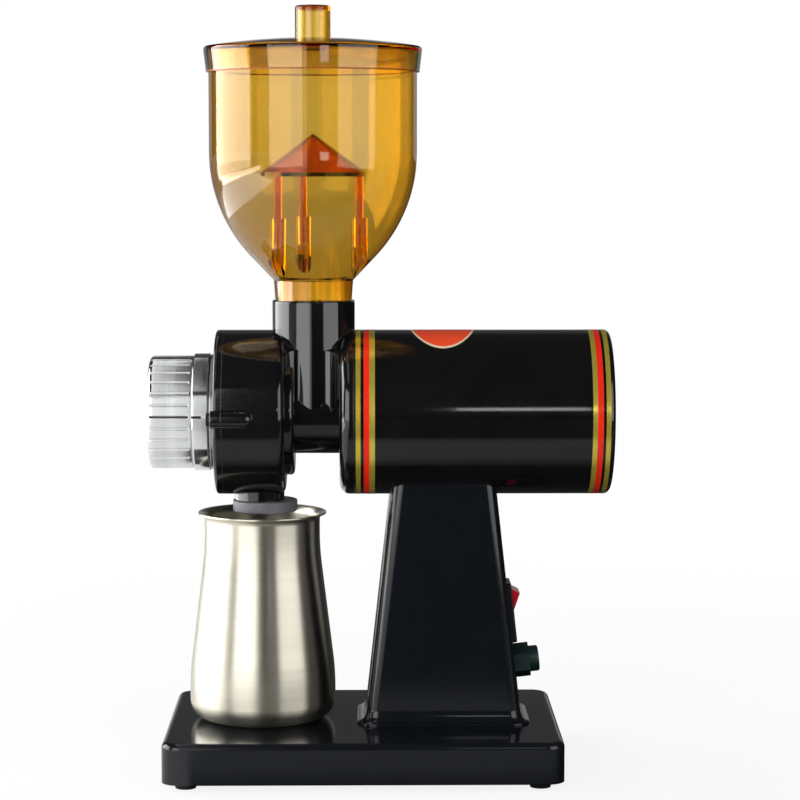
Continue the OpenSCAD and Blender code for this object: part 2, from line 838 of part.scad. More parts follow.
module run_capacitor() {
    can_foot_r = 0.8;
    can_top_r = 2;
    color("#c9ccd0") translate([capacitor_x, 0, base_top]) {
        round_disc(capacitor_r, capacitor_h, can_foot_r, can_top_r);
        translate([0, 0, -stud_l]) cylinder(r = stud_r, h = stud_l + cut);
    }
}

module capacitor_nut() {
    color("silver") translate([capacitor_x, 0, base_top - base_wall - capacitor_nut_h]) difference() {
        cylinder(r = capacitor_nut_r, h = capacitor_nut_h, $fn = 6);
        translate([0, 0, -cut]) cylinder(r = stud_r + seat, h = capacitor_nut_h + 2 * cut);
    }
}

module terminal_block() {
    pole = block_w / block_poles;
    color("#e9e4d4") translate([block_x, 0, base_top]) difference() {
        translate([-block_l / 2, -block_w / 2, 0]) cube([block_l, block_w, block_h]);
        for (i = [0 : block_poles - 1]) translate([0, (i + 0.5) * pole - block_w / 2, block_h / 2]) {
            cylinder(r = block_screw_r, h = block_h);
            rotate([0, 90, 0]) cylinder(r = block_wire_r, h = block_l + 2 * cut, center = true);
        }
    }
}

module motor_barrel() {
    color("#060607") difference() {
        on_shaft(barrel_front) ring(motor_d / 2, barrel_bore_r, barrel_rear - barrel_front);
        for (x = [-1, 1]) translate([column_x + x * saddle_bolt_x, 0, column_roof])
            cylinder(r = saddle_bolt_r + seat, h = axis_z - column_roof);
    }
}

module motor_front_cap() {
    color("#070708") on_shaft(motor_front) difference() {
        union() {
            difference() {
                union() {
                    round_disc(motor_d / 2, front_cap_l, motor_front_edge_r, 0);
                    translate([0, 0, front_cap_l]) cylinder(r = barrel_bore_r - seat, h = spigot_l);
                }
                translate([0, 0, cap_plate_t]) cylinder(r = cap_cup_r, h = front_cap_l + spigot_l);
            }
            translate([0, 0, cap_plate_t - cut]) cylinder(r = bearing_boss_r, h = bearing_b + cut);
        }
        translate([0, 0, cap_plate_t]) cylinder(r = bearing_d / 2, h = bearing_b + cut);
        translate([0, 0, -cut]) cylinder(r = shaft_hole_r, h = cap_plate_t + 2 * cut);
        ring_of(neck_screws_n, neck_screw_circle, neck_screw_turn) translate([0, 0, -cut])
            cylinder(r = neck_screw_r + pass, h = cap_plate_t + 2 * cut);
        ring_of(tie_bolts_n, tie_circle, tie_turn) translate([0, 0, cap_plate_t + hole_tip])
            cylinder(r = tie_r + seat, h = front_cap_l + spigot_l);
    }
}

module motor_rear_cap() {
    vents = 16;
    vent_w = 3.6;
    vent_margin_in = 4;
    vent_margin_out = 2;
    vent_in = bearing_boss_r + vent_margin_in;
    vent_out = cap_cup_r - vent_margin_out;
    plate_back = rear_boss_l + cap_plate_t;
    color("#070708") on_shaft(rear_bearing_x) difference() {
        union() {
            cylinder(r = bearing_boss_r, h = rear_boss_l + cut);
            translate([0, 0, rear_boss_l - spigot_l]) ring(barrel_bore_r - seat, cap_cup_r, spigot_l + cut);
            translate([0, 0, rear_boss_l]) cylinder(r = barrel_bore_r - seat, h = cap_plate_t);
            translate([0, 0, plate_back - rear_rim_l])
                round_disc(motor_d / 2, rear_rim_l, 0, rear_edge_r);
        }
        translate([0, 0, -cut]) cylinder(r = bearing_d / 2, h = bearing_b + cut);
        translate([0, 0, -cut])
            cylinder(r = shaft_hole_r, h = shaft_end + shaft_end_room - rear_bearing_x + cut);
        for (i = [0 : vents - 1]) rotate((i + 0.5) * 360 / vents)
            translate([0, 0, rear_boss_l - cut]) linear_extrude(cap_plate_t + 2 * cut) {
                translate([vent_in, -vent_w / 2]) square([vent_out - vent_in, vent_w]);
                for (r = [vent_in, vent_out]) translate([r, 0]) circle(vent_w / 2);
            }
        ring_of(tie_bolts_n, tie_circle, tie_turn) {
            cylinder(r = tie_r + pass / 2, h = plate_back + cut);
            translate([0, 0, plate_back - tie_head_sink])
                cylinder(r = 2 * tie_r + pass, h = tie_head_sink + cut);
        }
    }
}

module stator_core() {
    slot_w = 3;
    mouth_w = 1.2;
    tooth_tip = 1.6;
    yoke = 3;
    slot_in = stator_bore_d / 2 + tooth_tip;
    slot_out = cap_cup_r - yoke;
    color("#7c7f84") on_shaft(stator_front) linear_extrude(stator_l) difference() {
        circle(barrel_bore_r - seat);
        circle(stator_bore_d / 2);
        for (i = [0 : stator_slots - 1]) rotate((i + 0.5) * 360 / stator_slots) {
            translate([slot_in, -slot_w / 2]) square([slot_out - slot_in, slot_w]);
            translate([stator_bore_d / 2 - cut, -mouth_w / 2])
                square([slot_in - stator_bore_d / 2 + 2 * cut, mouth_w]);
        }
        ring_of(tie_bolts_n, tie_circle, tie_turn) circle(tie_r + pass / 2);
    }
}

// The winding's two end turns, each against its end of the stator
module stator_windings() {
    depth = cap_cup_r - winding_in_r;
    color("#a8552a") for (rear = [0, 1])
        on_shaft(rear == 0 ? stator_front : stator_rear) mirror([0, 0, 1 - rear]) rotate_extrude()
            translate([winding_in_r, 0]) difference() {
                square([depth, winding_l]);
                translate([depth - winding_edge, winding_l - winding_edge]) corner_nick(winding_edge);
            }
}

module rotor() {
    rotor_r = stator_bore_d / 2 - air_gap;
    end_ring_step = 1.6;
    end_ring_w = 6.4;
    end_ring_r = rotor_r - end_ring_step;
    hub_wall = 3;
    length = stator_l + 2 * rotor_end_l;
    color("#6d7075") on_shaft(stator_front - rotor_end_l) difference() {
        union() {
            translate([0, 0, rotor_end_l]) cylinder(r = rotor_r, h = stator_l);
            cylinder(r = end_ring_r, h = length);
        }
        for (z = [-cut, length - rotor_end_l]) translate([0, 0, z])
            ring(end_ring_r - end_ring_w, shaft_r + hub_wall, rotor_end_l + cut);
        translate([0, 0, -cut]) cylinder(r = shaft_r, h = length + 2 * cut);
    }
}

module motor_shaft() {
    color("#9a9da2") union() {
        on_shaft(hub_front) cylinder(r = shaft_r, h = shaft_end - hub_front);
        on_shaft(hub_front - shaft_thread_l) cylinder(r = shaft_thread_r, h = shaft_thread_l + cut);
    }
}

// Ball bearing as one ring with its two shields let in
module bearing() {
    recess = 0.5;
    race_t = 2.5;
    difference() {
        ring(bearing_d / 2, shaft_r + running, bearing_b);
        for (z = [-cut, bearing_b - recess]) translate([0, 0, z])
            ring(bearing_d / 2 - race_t, shaft_r + race_t, recess + cut);
    }
}

module front_bearing() { color("#b9bcc0") on_shaft(front_bearing_x) bearing(); }

module rear_bearing() { color("#b9bcc0") on_shaft(rear_bearing_x) bearing(); }

module cooling_fan() {
    hub_wall = 4;
    hub = shaft_r + hub_wall;
    blade_t = 1.6;
    blade_short = 1;
    color("#1c1d1f") on_shaft(fan_x) difference() {
        union() {
            cylinder(r = hub, h = fan_l);
            cylinder(r = fan_r, h = blade_t);
            ring_of(fan_blades, hub - cut) translate([0, -blade_t / 2, 0])
                cube([fan_r - hub, blade_t, fan_l - blade_short]);
        }
        translate([0, 0, -cut]) cylinder(r = shaft_r, h = fan_l + 2 * cut);
    }
}

module tie_bolts() {
    head_x = motor_rear - tie_head_sink;
    shank = head_x - motor_front - cap_plate_t - 2 * hole_tip;
    color("silver") on_shaft(head_x) ring_of(tie_bolts_n, tie_circle, tie_turn) mirror([0, 0, 1])
        screw(tie_r, shank, 2 * tie_r, tie_head_h);
}

// Plan of the two webs between the socket's foot and a wall that stands so far from the socket's axis
module web_plan(wall, land) {
    centre_x = wall - land - web_fillet_r;
    centre_y = sqrt(pow(socket_d / 2 + web_fillet_r - web_sink, 2) - pow(centre_x, 2));
    difference() {
        polygon([[0, 0], [centre_x, -centre_y], [wall, -centre_y], [wall, centre_y], [centre_x, centre_y]]);
        for (side = [-1, 1]) translate([centre_x, side * centre_y]) circle(web_fillet_r);
    }
}

// Webs at the socket's foot, which follow the drum above and taper into the feed neck below
module neck_webs() {
    foot_r = socket_d / 2;
    intersection() {
        translate([0, 0, axis_z]) linear_extrude(web_top_r) {
            mirror([1, 0]) web_plan(web_sink - drum_back, 0);
            web_plan(motor_front, web_land);
        }
        on_shaft(drum_back - cut) cylinder(r = web_top_r, h = motor_front - drum_back + 2 * cut);
        translate([0, 0, axis_z]) cylinder(r1 = foot_r, r2 = foot_r + web_top_r, h = web_top_r);
    }
}

// Outside of the head casting: drum with its lugs, step, feed neck, hopper socket, webs and spout
module head_outside() {
    lug_r = lug_d / 2;
    step_edge_r = step_l / 2;
    socket_edge_r = 0.8;
    on_shaft(drum_front) round_disc(drum_r, drum_l, 0, drum_edge_r);
    on_lugs(drum_front) {
        cylinder(r = lug_r, h = lug_l - lug_r);
        translate([0, 0, lug_l - lug_r]) sphere(lug_r);
    }
    on_shaft(drum_back - cut) round_disc(step_d / 2, step_l + cut, 0, step_edge_r);
    on_shaft(drum_back - cut) cylinder(r = neck_d / 2, h = motor_front - drum_back + cut);
    translate([0, 0, axis_z]) round_disc(socket_d / 2, socket_top - axis_z, 0, socket_edge_r);
    neck_webs();
    translate([-spout_x, 0, spout_bottom]) cylinder(r = spout_d / 2, h = axis_z - spout_bottom);
}

// Way of the beans from the socket down to the auger, flat and then sloping on the motor's side
module throat() {
    ramp_foot = socket_floor - throat_ramp_h;
    reach = throat_r + cut;
    top = socket_floor + cut;
    intersection() {
        translate([0, 0, axis_z]) cylinder(r = throat_r, h = top - axis_z);
        rotate([90, 0, 0]) linear_extrude(2 * reach, center = true)
            polygon([[-reach, axis_z - cut], [neck_bore_end, axis_z - cut], [neck_bore_end, ramp_foot],
                [throat_r, socket_floor], [reach, top + cut], [-reach, top + cut]]);
    }
}

module grinder_body() {
    color("#08090a") difference() {
        head_outside();
        // Seat of the motor's front cap, which the hopper socket partly stands over
        on_shaft(motor_front) round_disc(motor_d / 2 + seat, socket_d, motor_front_edge_r, 0);
        on_shaft(drum_front - cut) cylinder(r = chamber_r, h = drum_l - chamber_floor + cut);
        on_shaft(chamber_back - cut) cylinder(r = neck_bore_r, h = neck_bore_end - chamber_back + cut);
        throat();
        translate([0, 0, socket_floor]) cylinder(r = plug_r + pass, h = socket_depth + cut);
        translate([-spout_x, 0, spout_bottom - cut])
            cylinder(r = spout_bore_d / 2, h = axis_z - spout_bottom);
        on_shaft(neck_bore_end - cut) cylinder(r = shaft_hole_r, h = neck_end_t + 2 * cut);
        on_shaft(motor_front - seal_l) cylinder(r = seal_r, h = seal_l + cut);
        on_shaft(motor_front - neck_screw_hold - hole_tip)
            ring_of(neck_screws_n, neck_screw_circle, neck_screw_turn)
                cylinder(r = neck_screw_r + seat, h = neck_screw_hold + hole_tip + cut);
        on_lugs(drum_front - cut) cylinder(r = cover_screw_r + seat, h = cover_screw_hold + hole_tip + cut);
    }
}

module neck_screws() {
    color("silver") on_shaft(motor_front + cap_plate_t)
        ring_of(neck_screws_n, neck_screw_circle, neck_screw_turn) mirror([0, 0, 1])
            screw(neck_screw_r, cap_plate_t + neck_screw_hold, neck_screw_head_r, neck_screw_head_h);
}

module shaft_seal() {
    color("#3a2c22") on_shaft(motor_front - seal_l) ring(seal_r - seat, shaft_r + running, seal_l);
}

module feed_auger() {
    length = auger_back - hub_back;
    turn = 400;
    color("#8d9095") on_shaft(hub_back) difference() {
        union() {
            cylinder(r = auger_hub_r, h = length);
            linear_extrude(length, twist = turn, slices = 36, segments = 8)
                translate([0, -auger_flight_t / 2]) square([auger_r, auger_flight_t]);
        }
        translate([0, 0, -cut]) cylinder(r = shaft_r, h = length + 2 * cut);
    }
}

module burr_hub() {
    spokes = 3;
    sweepers = 2;
    spoke_w = 6;
    sweeper_w = 4;
    sweeper_r = chamber_r - sweeper_gap;
    color("#9b9ea3") on_shaft(hub_front) linear_extrude(hub_t) difference() {
        union() {
            difference() {
                circle(plate_r);
                circle(burr_bore_r);
            }
            circle(auger_hub_r);
            for (i = [0 : spokes - 1]) rotate(i * 360 / spokes) translate([shaft_r + cut, -spoke_w / 2])
                square([burr_bore_r - shaft_r, spoke_w]);
            for (i = [0 : sweepers - 1]) rotate(90 + i * 360 / sweepers)
                translate([plate_r - cut, -sweeper_w / 2]) square([sweeper_r - plate_r + cut, sweeper_w]);
        }
        circle(shaft_r);
        ring_of(burr_screws_n, burr_screw_circle, burr_screw_turn) circle(burr_screw_r + seat);
    }
}

// Toothed ring whose grinding face looks along its own +Z
module burr(bore_r) {
    groove_w = 3;
    groove_depth = 1.6;
    groove_dip = 6;
    difference() {
        ring(burr_r, bore_r, burr_t);
        for (i = [0 : burr_teeth - 1]) rotate(i * 360 / burr_teeth)
            translate([bore_r - cut, bore_r / 3, burr_t]) rotate([0, groove_dip, 0])
                translate([0, -groove_w / 2, -groove_depth]) cube([burr_r, groove_w, 2 * groove_depth]);
        ring_of(burr_screws_n, burr_screw_circle, burr_screw_turn) {
            translate([0, 0, -cut]) cylinder(r = burr_screw_r + pass, h = burr_t + 2 * cut);
            translate([0, 0, burr_t - burr_screw_sink])
                cylinder(r = burr_screw_head_r + pass, h = burr_screw_sink + cut);
        }
    }
}

// Screws that hold a burr whose grinding face looks along +Z to the plate behind it
module burr_screws(plate) {
    shank = burr_t - burr_screw_sink + plate - hole_tip;
    ring_of(burr_screws_n, burr_screw_circle, burr_screw_turn) translate([0, 0, burr_t - burr_screw_sink])
        mirror([0, 0, 1]) screw(burr_screw_r, shank, burr_screw_head_r, burr_screw_head_h);
}

module rotating_burr() { color("#b4b7bb") on_shaft(hub_front) mirror([0, 0, 1]) burr(burr_bore_r); }

module rotating_burr_screws() { color("#5b5d60") on_shaft(hub_front) mirror([0, 0, 1]) burr_screws(hub_t); }

module shaft_nut() {
    color("silver") on_shaft(hub_front - nut_h) difference() {
        cylinder(r = nut_af / sqrt(3), h = nut_h, $fn = 6);
        translate([0, 0, -cut]) cylinder(r = shaft_thread_r, h = nut_h + 2 * cut);
    }
}

module stationary_burr() {
    color("#b4b7bb") on_shaft(stationary_front) burr(burr_bore_r - feed_bore_step);
}

module stationary_burr_screws() { color("#5b5d60") on_shaft(stationary_front) burr_screws(carrier_t); }

module burr_carrier() {
    color("#8f9297") on_shaft(carrier_front) difference() {
        union() {
            cylinder(r = plate_r, h = carrier_t);
            translate([0, 0, -boss_l]) cylinder(r = boss_r, h = boss_l + cut);
        }
        translate([0, 0, -boss_l - cut])
            cylinder(r = spindle_d / 2 + running, h = boss_l + carrier_t + 2 * cut);
        ring_of(guides_n, guide_circle) translate([0, 0, -cut])
            cylinder(r = guide_r + pass / 2, h = carrier_t + 2 * cut);
        ring_of(burr_screws_n, burr_screw_circle, burr_screw_turn) translate([0, 0, -cut])
            cylinder(r = burr_screw_r + seat, h = carrier_t + 2 * cut);
    }
}

module guide_pins() {
    color("silver") on_shaft(drum_front - guide_hold) ring_of(guides_n, guide_circle)
        cylinder(r = guide_r, h = guide_back - drum_front + guide_hold);
}

// Points round the spring's wire at a share t of its length l, which rises along Z
function wire_ring(t, l, sides) = let (a = 360 * spring_turns * t, out = [cos(a), sin(a), 0],
    middle = spring_r * out + [0, 0, spring_wire_r + t * (l - 2 * spring_wire_r)])
    [for (i = [0 : sides - 1]) middle + spring_wire_r * (cos(360 * i / sides) * out
        + [0, 0, sin(360 * i / sides)])];

module coil(l) {
    sides = 6;
    rings = ceil(12 * spring_turns);
    last = rings * sides;
    points = [for (k = [0 : rings]) each wire_ring(k / rings, l, sides)];
    walls = [for (k = [0 : rings - 1], i = [0 : sides - 1])
        let (a = k * sides + i, b = k * sides + (i + 1) % sides)
            each [[a, b + sides, b], [a, a + sides, b + sides]]];
    ends = [for (i = [1 : sides - 2]) each [[0, i, i + 1], [last, last + i + 1, last + i]]];
    polyhedron(points, concat(walls, ends));
}

module carrier_springs() {
    color("#a6a9ad") on_shaft(drum_front + spring_room) ring_of(guides_n, guide_circle)
        coil(carrier_room - 2 * spring_room);
}

module adjuster_spindle() {
    flange_back = drum_front - spindle_flange_room;
    color("#a0a3a8") difference() {
        union() {
            on_shaft(spindle_front) cylinder(r = spindle_d / 2, h = spindle_end - spindle_front);
            on_shaft(flange_back - spindle_flange_t) cylinder(r = spindle_flange_r, h = spindle_flange_t);
        }
        on_shaft(spindle_front - cut) cylinder(r = knob_screw_r + seat, h = knob_screw_l + cut);
    }
}

module front_cover() {
    lug_edge_r = 0.8;
    color("#08090a") difference() {
        union() {
            on_shaft(cover_front) round_disc(drum_r, cover_t, cover_edge_r, 0);
            on_shaft(drum_front) ring(chamber_r - seat, chamber_r - lip_wall, lip_l);
            on_lugs(cover_front - lug_proud) round_disc(lug_d / 2, cover_t + lug_proud, lug_edge_r, 0);
        }
        on_shaft(cover_front - cut) cylinder(r = spindle_d / 2 + running, h = cover_t + 2 * cut);
        on_shaft(drum_front - spindle_flange_t - pass) cylinder(r = spindle_flange_r + pass, h = cover_t);
        on_shaft(drum_front - guide_hold) ring_of(guides_n, guide_circle) cylinder(r = guide_r, h = cover_t);
        on_shaft(cover_front - cut) ring_of(2, index_screw_circle, 90)
            cylinder(r = index_screw_r + seat, h = index_screw_hold + cut);
        on_lugs(cover_front - lug_proud - cut)
            cylinder(r = cover_screw_r + pass / 2, h = cover_t + lug_proud + 2 * cut);
    }
}

module cover_screws() {
    color("#2a2b2d") on_lugs(cover_front - lug_proud) difference() {
        screw(cover_screw_r, lug_proud + cover_t + cover_screw_hold, cover_screw_head_r, cover_screw_head_h);
        translate([0, 0, -cover_screw_head_h - cut])
            cylinder(r = cover_screw_socket_r, h = 0.8 * cover_screw_head_h + cut, $fn = 6);
    }
}

module index_plate() {
    color("#cfd2d5") on_shaft(index_front) difference() {
        round_disc(index_plate_d / 2, index_plate_t, dial_soft_r, 0);
        translate([0, 0, -cut]) cylinder(r = spindle_d / 2 + pass, h = index_plate_t + 2 * cut);
        ring_of(2, index_screw_circle, 90) translate([0, 0, -cut]) {
            cylinder(r = index_screw_r + pass / 2, h = index_plate_t + 2 * cut);
            cylinder(r = index_screw_head_r + pass, h = index_screw_sink + cut);
        }
    }
}

module index_plate_screws() {
    shank = index_plate_t - index_screw_sink + index_screw_hold;
    color("silver") on_shaft(index_front + index_screw_sink) ring_of(2, index_screw_circle, 90)
        screw(index_screw_r, shank, index_screw_head_r, index_screw_head_h);
}

module dial_ring() {
    ring_front_r = 0.8;
    color("#d5d8db") on_shaft(knob_back) difference() {
        round_disc(dial_ring_d / 2, dial_ring_l, ring_front_r, dial_soft_r);
        translate([0, 0, -cut]) cylinder(r = spindle_d / 2, h = dial_ring_l + 2 * cut);
    }
}

module dial_knob() {
    color("#d5d8db") on_shaft(knob_front) difference() {
        round_disc(knob_d / 2, knob_l, knob_edge_r, dial_soft_r);
        ring_of(knob_grooves, knob_d / 2 + knob_groove_r / 3, 180 / knob_grooves) translate([0, 0, -cut])
            cylinder(r = knob_groove_r, h = knob_l - knob_rear_land + cut);
        translate([0, 0, -cut]) cylinder(r = knob_cap_r + seat, h = knob_cap_t + cut);
        cylinder(r = knob_screw_head_r + pass, h = screw_pocket_l);
        cylinder(r = knob_screw_r + pass / 2, h = knob_l);
        translate([0, 0, spindle_front - knob_front]) cylinder(r = spindle_d / 2, h = knob_l);
    }
}

module knob_cap() {
    color("#c3c6c9") on_shaft(knob_front) round_disc(knob_cap_r, knob_cap_t, dial_soft_r, 0);
}

module knob_screw() {
    color("silver") on_shaft(spindle_front - knob_web)
        screw(knob_screw_r, knob_screw_l, knob_screw_head_r, knob_screw_head_h);
}

module spout_collar() {
    collar_edge_r = 0.6;
    color("#8b9391") difference() {
        translate([collar_offset - spout_x, 0, collar_bottom])
            round_disc(spout_d / 2 + collar_wall, collar_h, collar_edge_r, collar_edge_r);
        translate([-spout_x, 0, spout_bottom]) cylinder(r = spout_d / 2 + seat, h = collar_h);
        translate([-spout_x, 0, collar_bottom - cut]) cylinder(r = spout_bore_d / 2, h = collar_h);
    }
}

// The room inside the hopper's outline above its neck, drawn in by an inset
module hopper_block(inset) {
    r = hopper_d / 2 - inset;
    slope = tan(bowl_angle);
    arc_r = bowl_r - inset;
    arc_end = bowl_start - arc_r * sin(bowl_angle);
    arc_end_r = bowl_centre_r + arc_r * cos(bowl_angle);
    foot_r = funnel_foot_r - inset;
    foot = arc_end - (arc_end_r - foot_r) / slope;
    rotate_extrude() difference() {
        translate([0, foot]) square([r, hopper_rim + inset - foot]);
        // Outside of the curve
        difference() {
            translate([arc_end_r - cut, arc_end]) square([r, bowl_start - arc_end]);
            translate([bowl_centre_r, bowl_start]) circle(arc_r);
        }
        // Outside of the funnel's slope
        polygon([[foot_r - cut * slope, foot - cut], [foot_r + (bowl_start - foot) * slope, bowl_start],
            [2 * r, bowl_start], [2 * r, foot - cut]]);
    }
}

// Copies of a shape where the guard's legs stand
module guard_places() {
    for (i = [0 : guard_legs - 1]) rotate(guard_turn + i * 360 / guard_legs)
        translate([guard_leg_circle, 0, 0]) children();
}

module hopper() {
    skin = 0.5;
    color([0.85, 0.5, 0.1, 0.6]) difference() {
        union() {
            difference() {
                hopper_block(0);
                hopper_block(hopper_wall);
            }
            intersection() {
                guard_places() translate([0, 0, socket_top])
                    cylinder(r = guard_socket_d / 2, h = guard_socket_top - socket_top);
                hopper_block(skin);
            }
        }
        guard_places() translate([0, 0, guard_socket_top - leg_hold - hole_tip])
            cylinder(r = guard_leg_d / 2 + seat, h = leg_hold + hole_tip + cut);
        translate([0, 0, funnel_foot - cut]) cylinder(r = plug_bore_r, h = 3 * hopper_wall + cut);
    }
}

// The neck under the funnel, whose plug goes into the socket
module hopper_spigot() {
    plug_foot_r = plug_r + plug_shoulder;
    neck_l = hopper_neck_h - seat;
    color([0.85, 0.5, 0.1, 0.6]) difference() {
        union() {
            translate([0, 0, socket_top]) cylinder(r1 = plug_foot_r, r2 = funnel_foot_r, h = neck_l);
            translate([0, 0, socket_floor]) cylinder(r = plug_r, h = socket_depth + cut);
        }
        translate([0, 0, socket_floor - cut]) cylinder(r = plug_bore_r, h = socket_depth + neck_l + 2 * cut);
    }
}

// The part of a ball that forms the lid's dome, above a height and inside a radius
module dome(ball_r, reach, bottom) {
    rotate_extrude() intersection() {
        translate([0, lid_peak - lid_ball_r]) circle(ball_r, $fn = 8 * $fn);
        translate([0, bottom]) square([reach, 2 * lid_peak - bottom]);
    }
}

module hopper_lid() {
    knob_r = lid_knob_d / 2;
    color([0.85, 0.45, 0.1, 0.6]) difference() {
        union() {
            translate([0, 0, lid_skirt_bottom])
                cylinder(r1 = lid_r - lid_skirt_draw, r2 = lid_r, h = lid_skirt_h - lid_edge_r);
            translate([0, 0, lid_top - lid_edge_r]) round_disc(lid_r, lid_edge_r, 0, lid_edge_r);
            dome(lid_ball_r, lid_r, lid_top);
            translate([0, 0, lid_top]) round_disc(knob_r, lid_dome + lid_knob_h, 0, lid_knob_edge_r);
        }
        translate([0, 0, lid_skirt_bottom - cut])
            cylinder(r = hopper_d / 2 + pass, h = hopper_rim - lid_skirt_bottom + cut);
        dome(lid_ball_r - lid_t, hopper_d / 2 - 1.5 * hopper_wall, hopper_rim - cut);
        translate([0, 0, hopper_rim]) cylinder(r = knob_r - lid_knob_wall, h = lid_dome + lid_knob_h);
    }
}

module bean_guard() {
    r = guard_d / 2;
    slope = guard_h / r;
    leg_bottom = guard_socket_top - leg_hold;
    leg_top = guard_rim + slope * (r - guard_leg_circle - guard_leg_d / 2);
    crown_t = 1.3 * guard_t;
    lip = [r - guard_t, guard_rim - guard_t + slope * guard_t / 2];
    color([0.85, 0.3, 0.05, 0.7]) union() {
        rotate_extrude() polygon([[r, guard_rim - guard_t], [r, guard_rim], [0, guard_rim + guard_h],
            [0, guard_rim + guard_h - crown_t], lip]);
        guard_places() translate([0, 0, leg_bottom]) cylinder(r = guard_leg_d / 2, h = leg_top - leg_bottom);
    }
}

// Half of the cup's section, drawn in by an inset, from its foot to its flared rim
module cup_section(inset) {
    belly_r = cup_d / 2;
    throat = cup_throat_d / 2;
    rim = cup_rim_d / 2;
    throat_start = cup_h - cup_throat_l;
    flare_r = rim - throat;
    flare_start = cup_h - cup_rim_t - flare_r;
    low = cup_belly_h + (cup_sweep_r - inset) * sin(cup_slope);
    low_r = belly_r - cup_sweep_r + (cup_sweep_r - inset) * cos(cup_slope);
    high = throat_start - (cup_sweep_r + inset) * sin(cup_slope);
    high_r = throat + cup_sweep_r - (cup_sweep_r + inset) * cos(cup_slope);
    foot_r = cup_foot_r - inset;
    top = cup_h + inset;
    // The straight slope crosses both curves a little, which it would otherwise only touch
    lap = 0.02;
    run_on = 5;
    draw_in = (low_r - high_r - 2 * lap) / (high - low);
    difference() {
        translate([0, inset]) square([belly_r - inset, top - inset]);
        translate([belly_r - inset - foot_r, inset + foot_r]) mirror([0, 1]) corner_nick(foot_r);
        // Outside of the belly's curve
        difference() {
            translate([low_r - cut, cup_belly_h]) square([belly_r, low - cup_belly_h]);
            translate([belly_r - cup_sweep_r, cup_belly_h]) circle(cup_sweep_r - inset);
        }
        // Outside of the straight slope
        polygon([[low_r - lap + draw_in * run_on, low - run_on], [high_r + lap, high],
            [cup_d, high], [cup_d, low - run_on]]);
        // Outside of the throat's curve
        intersection() {
            translate([throat - inset, high - run_on]) square([cup_d, throat_start - high + run_on]);
            translate([throat + cup_sweep_r, throat_start]) circle(cup_sweep_r + inset);
        }
        translate([throat - inset, throat_start]) square([cup_d, flare_start - throat_start]);
        // Under the rim's flare, and beyond the rim
        intersection() {
            translate([throat - inset - cut, flare_start]) square([flare_r + inset + cut, cup_d]);
            translate([rim, flare_start]) circle(flare_r + inset);
        }
        translate([rim, flare_start]) square(cup_d);
    }
}

module cup() {
    color("#d9d9d6") translate([-cup_x, 0, base_top]) rotate_extrude() difference() {
        cup_section(0);
        cup_section(cup_wall);
    }
}

placed() base_housing();
placed() base_plate();
placed() rubber_feet();
placed() foot_screws();
placed() column();
placed() column_screws();
placed() saddle_bolts();
placed() switch_housing();
placed() switch_rocker();
placed() switch_terminals();
placed() gland_body();
placed() gland_cap();
placed() gland_seal();
placed() gland_lock_nut();
placed() run_capacitor();
placed() capacitor_nut();
placed() terminal_block();
placed() motor_barrel();
placed() motor_front_cap();
placed() motor_rear_cap();
placed() stator_core();
placed() stator_windings();
placed() rotor();
placed() motor_shaft();
placed() front_bearing();
placed() rear_bearing();
placed() cooling_fan();
placed() tie_bolts();
placed() grinder_body();
placed() neck_screws();
placed() shaft_seal();
placed() feed_auger();
placed() burr_hub();
placed() rotating_burr();
placed() rotating_burr_screws();
placed() shaft_nut();
placed() stationary_burr();
placed() stationary_burr_screws();
placed() burr_carrier();
placed() guide_pins();
placed() carrier_springs();
placed() adjuster_spindle();
placed() front_cover();
placed() cover_screws();
placed() index_plate();
placed() index_plate_screws();
placed() dial_ring();
placed() dial_knob();
placed() knob_cap();
placed() knob_screw();
placed() spout_collar();
placed() hopper();
placed() hopper_spigot();
placed() hopper_lid();
placed() bean_guard();
placed() cup();
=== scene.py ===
"""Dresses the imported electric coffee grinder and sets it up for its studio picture.

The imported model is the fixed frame: X runs along the motor shaft with the dial at -X, Z is up and the
table is at Z = 0. Every length is in metres, and MM turns a size in millimetres into metres.
"""

import json
import logging
import math
from dataclasses import dataclass
from enum import Enum

import bmesh
import bpy
from mathutils import Matrix, Vector


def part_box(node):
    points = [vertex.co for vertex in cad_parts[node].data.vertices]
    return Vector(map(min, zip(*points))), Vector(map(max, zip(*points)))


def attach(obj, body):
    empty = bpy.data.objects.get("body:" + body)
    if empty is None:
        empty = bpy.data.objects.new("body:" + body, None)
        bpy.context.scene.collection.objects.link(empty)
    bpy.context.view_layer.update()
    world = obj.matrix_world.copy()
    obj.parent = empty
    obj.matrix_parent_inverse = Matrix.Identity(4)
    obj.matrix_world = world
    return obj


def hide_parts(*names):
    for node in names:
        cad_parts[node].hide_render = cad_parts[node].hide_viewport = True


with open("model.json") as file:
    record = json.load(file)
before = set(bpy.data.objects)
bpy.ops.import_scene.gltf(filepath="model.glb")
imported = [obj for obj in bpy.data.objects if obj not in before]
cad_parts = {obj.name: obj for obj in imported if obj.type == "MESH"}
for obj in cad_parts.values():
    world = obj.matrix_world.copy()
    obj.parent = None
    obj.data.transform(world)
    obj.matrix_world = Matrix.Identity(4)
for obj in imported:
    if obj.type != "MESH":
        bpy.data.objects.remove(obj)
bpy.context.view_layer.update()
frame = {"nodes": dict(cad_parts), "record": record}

LOG = logging.getLogger("coffee_grinder")
MM = 0.001
FULL_TURN = 2 * math.pi

Screen = tuple[int, int, int]
Colour = tuple[float, float, float]
Point = tuple[float, float, float]
Pair = tuple[float, float]
Node = bpy.types.Node
Socket = bpy.types.NodeSocket

ORIGIN: Point = (0.0, 0.0, 0.0)
WHITE: Colour = (1.0, 1.0, 1.0)

# Curve between a screen's values and linear ones
SCREEN_FULL = 255
SCREEN_KNEE = 0.04045
SCREEN_SLOPE = 12.92
SCREEN_OFFSET = 0.055
SCREEN_POWER = 2.4


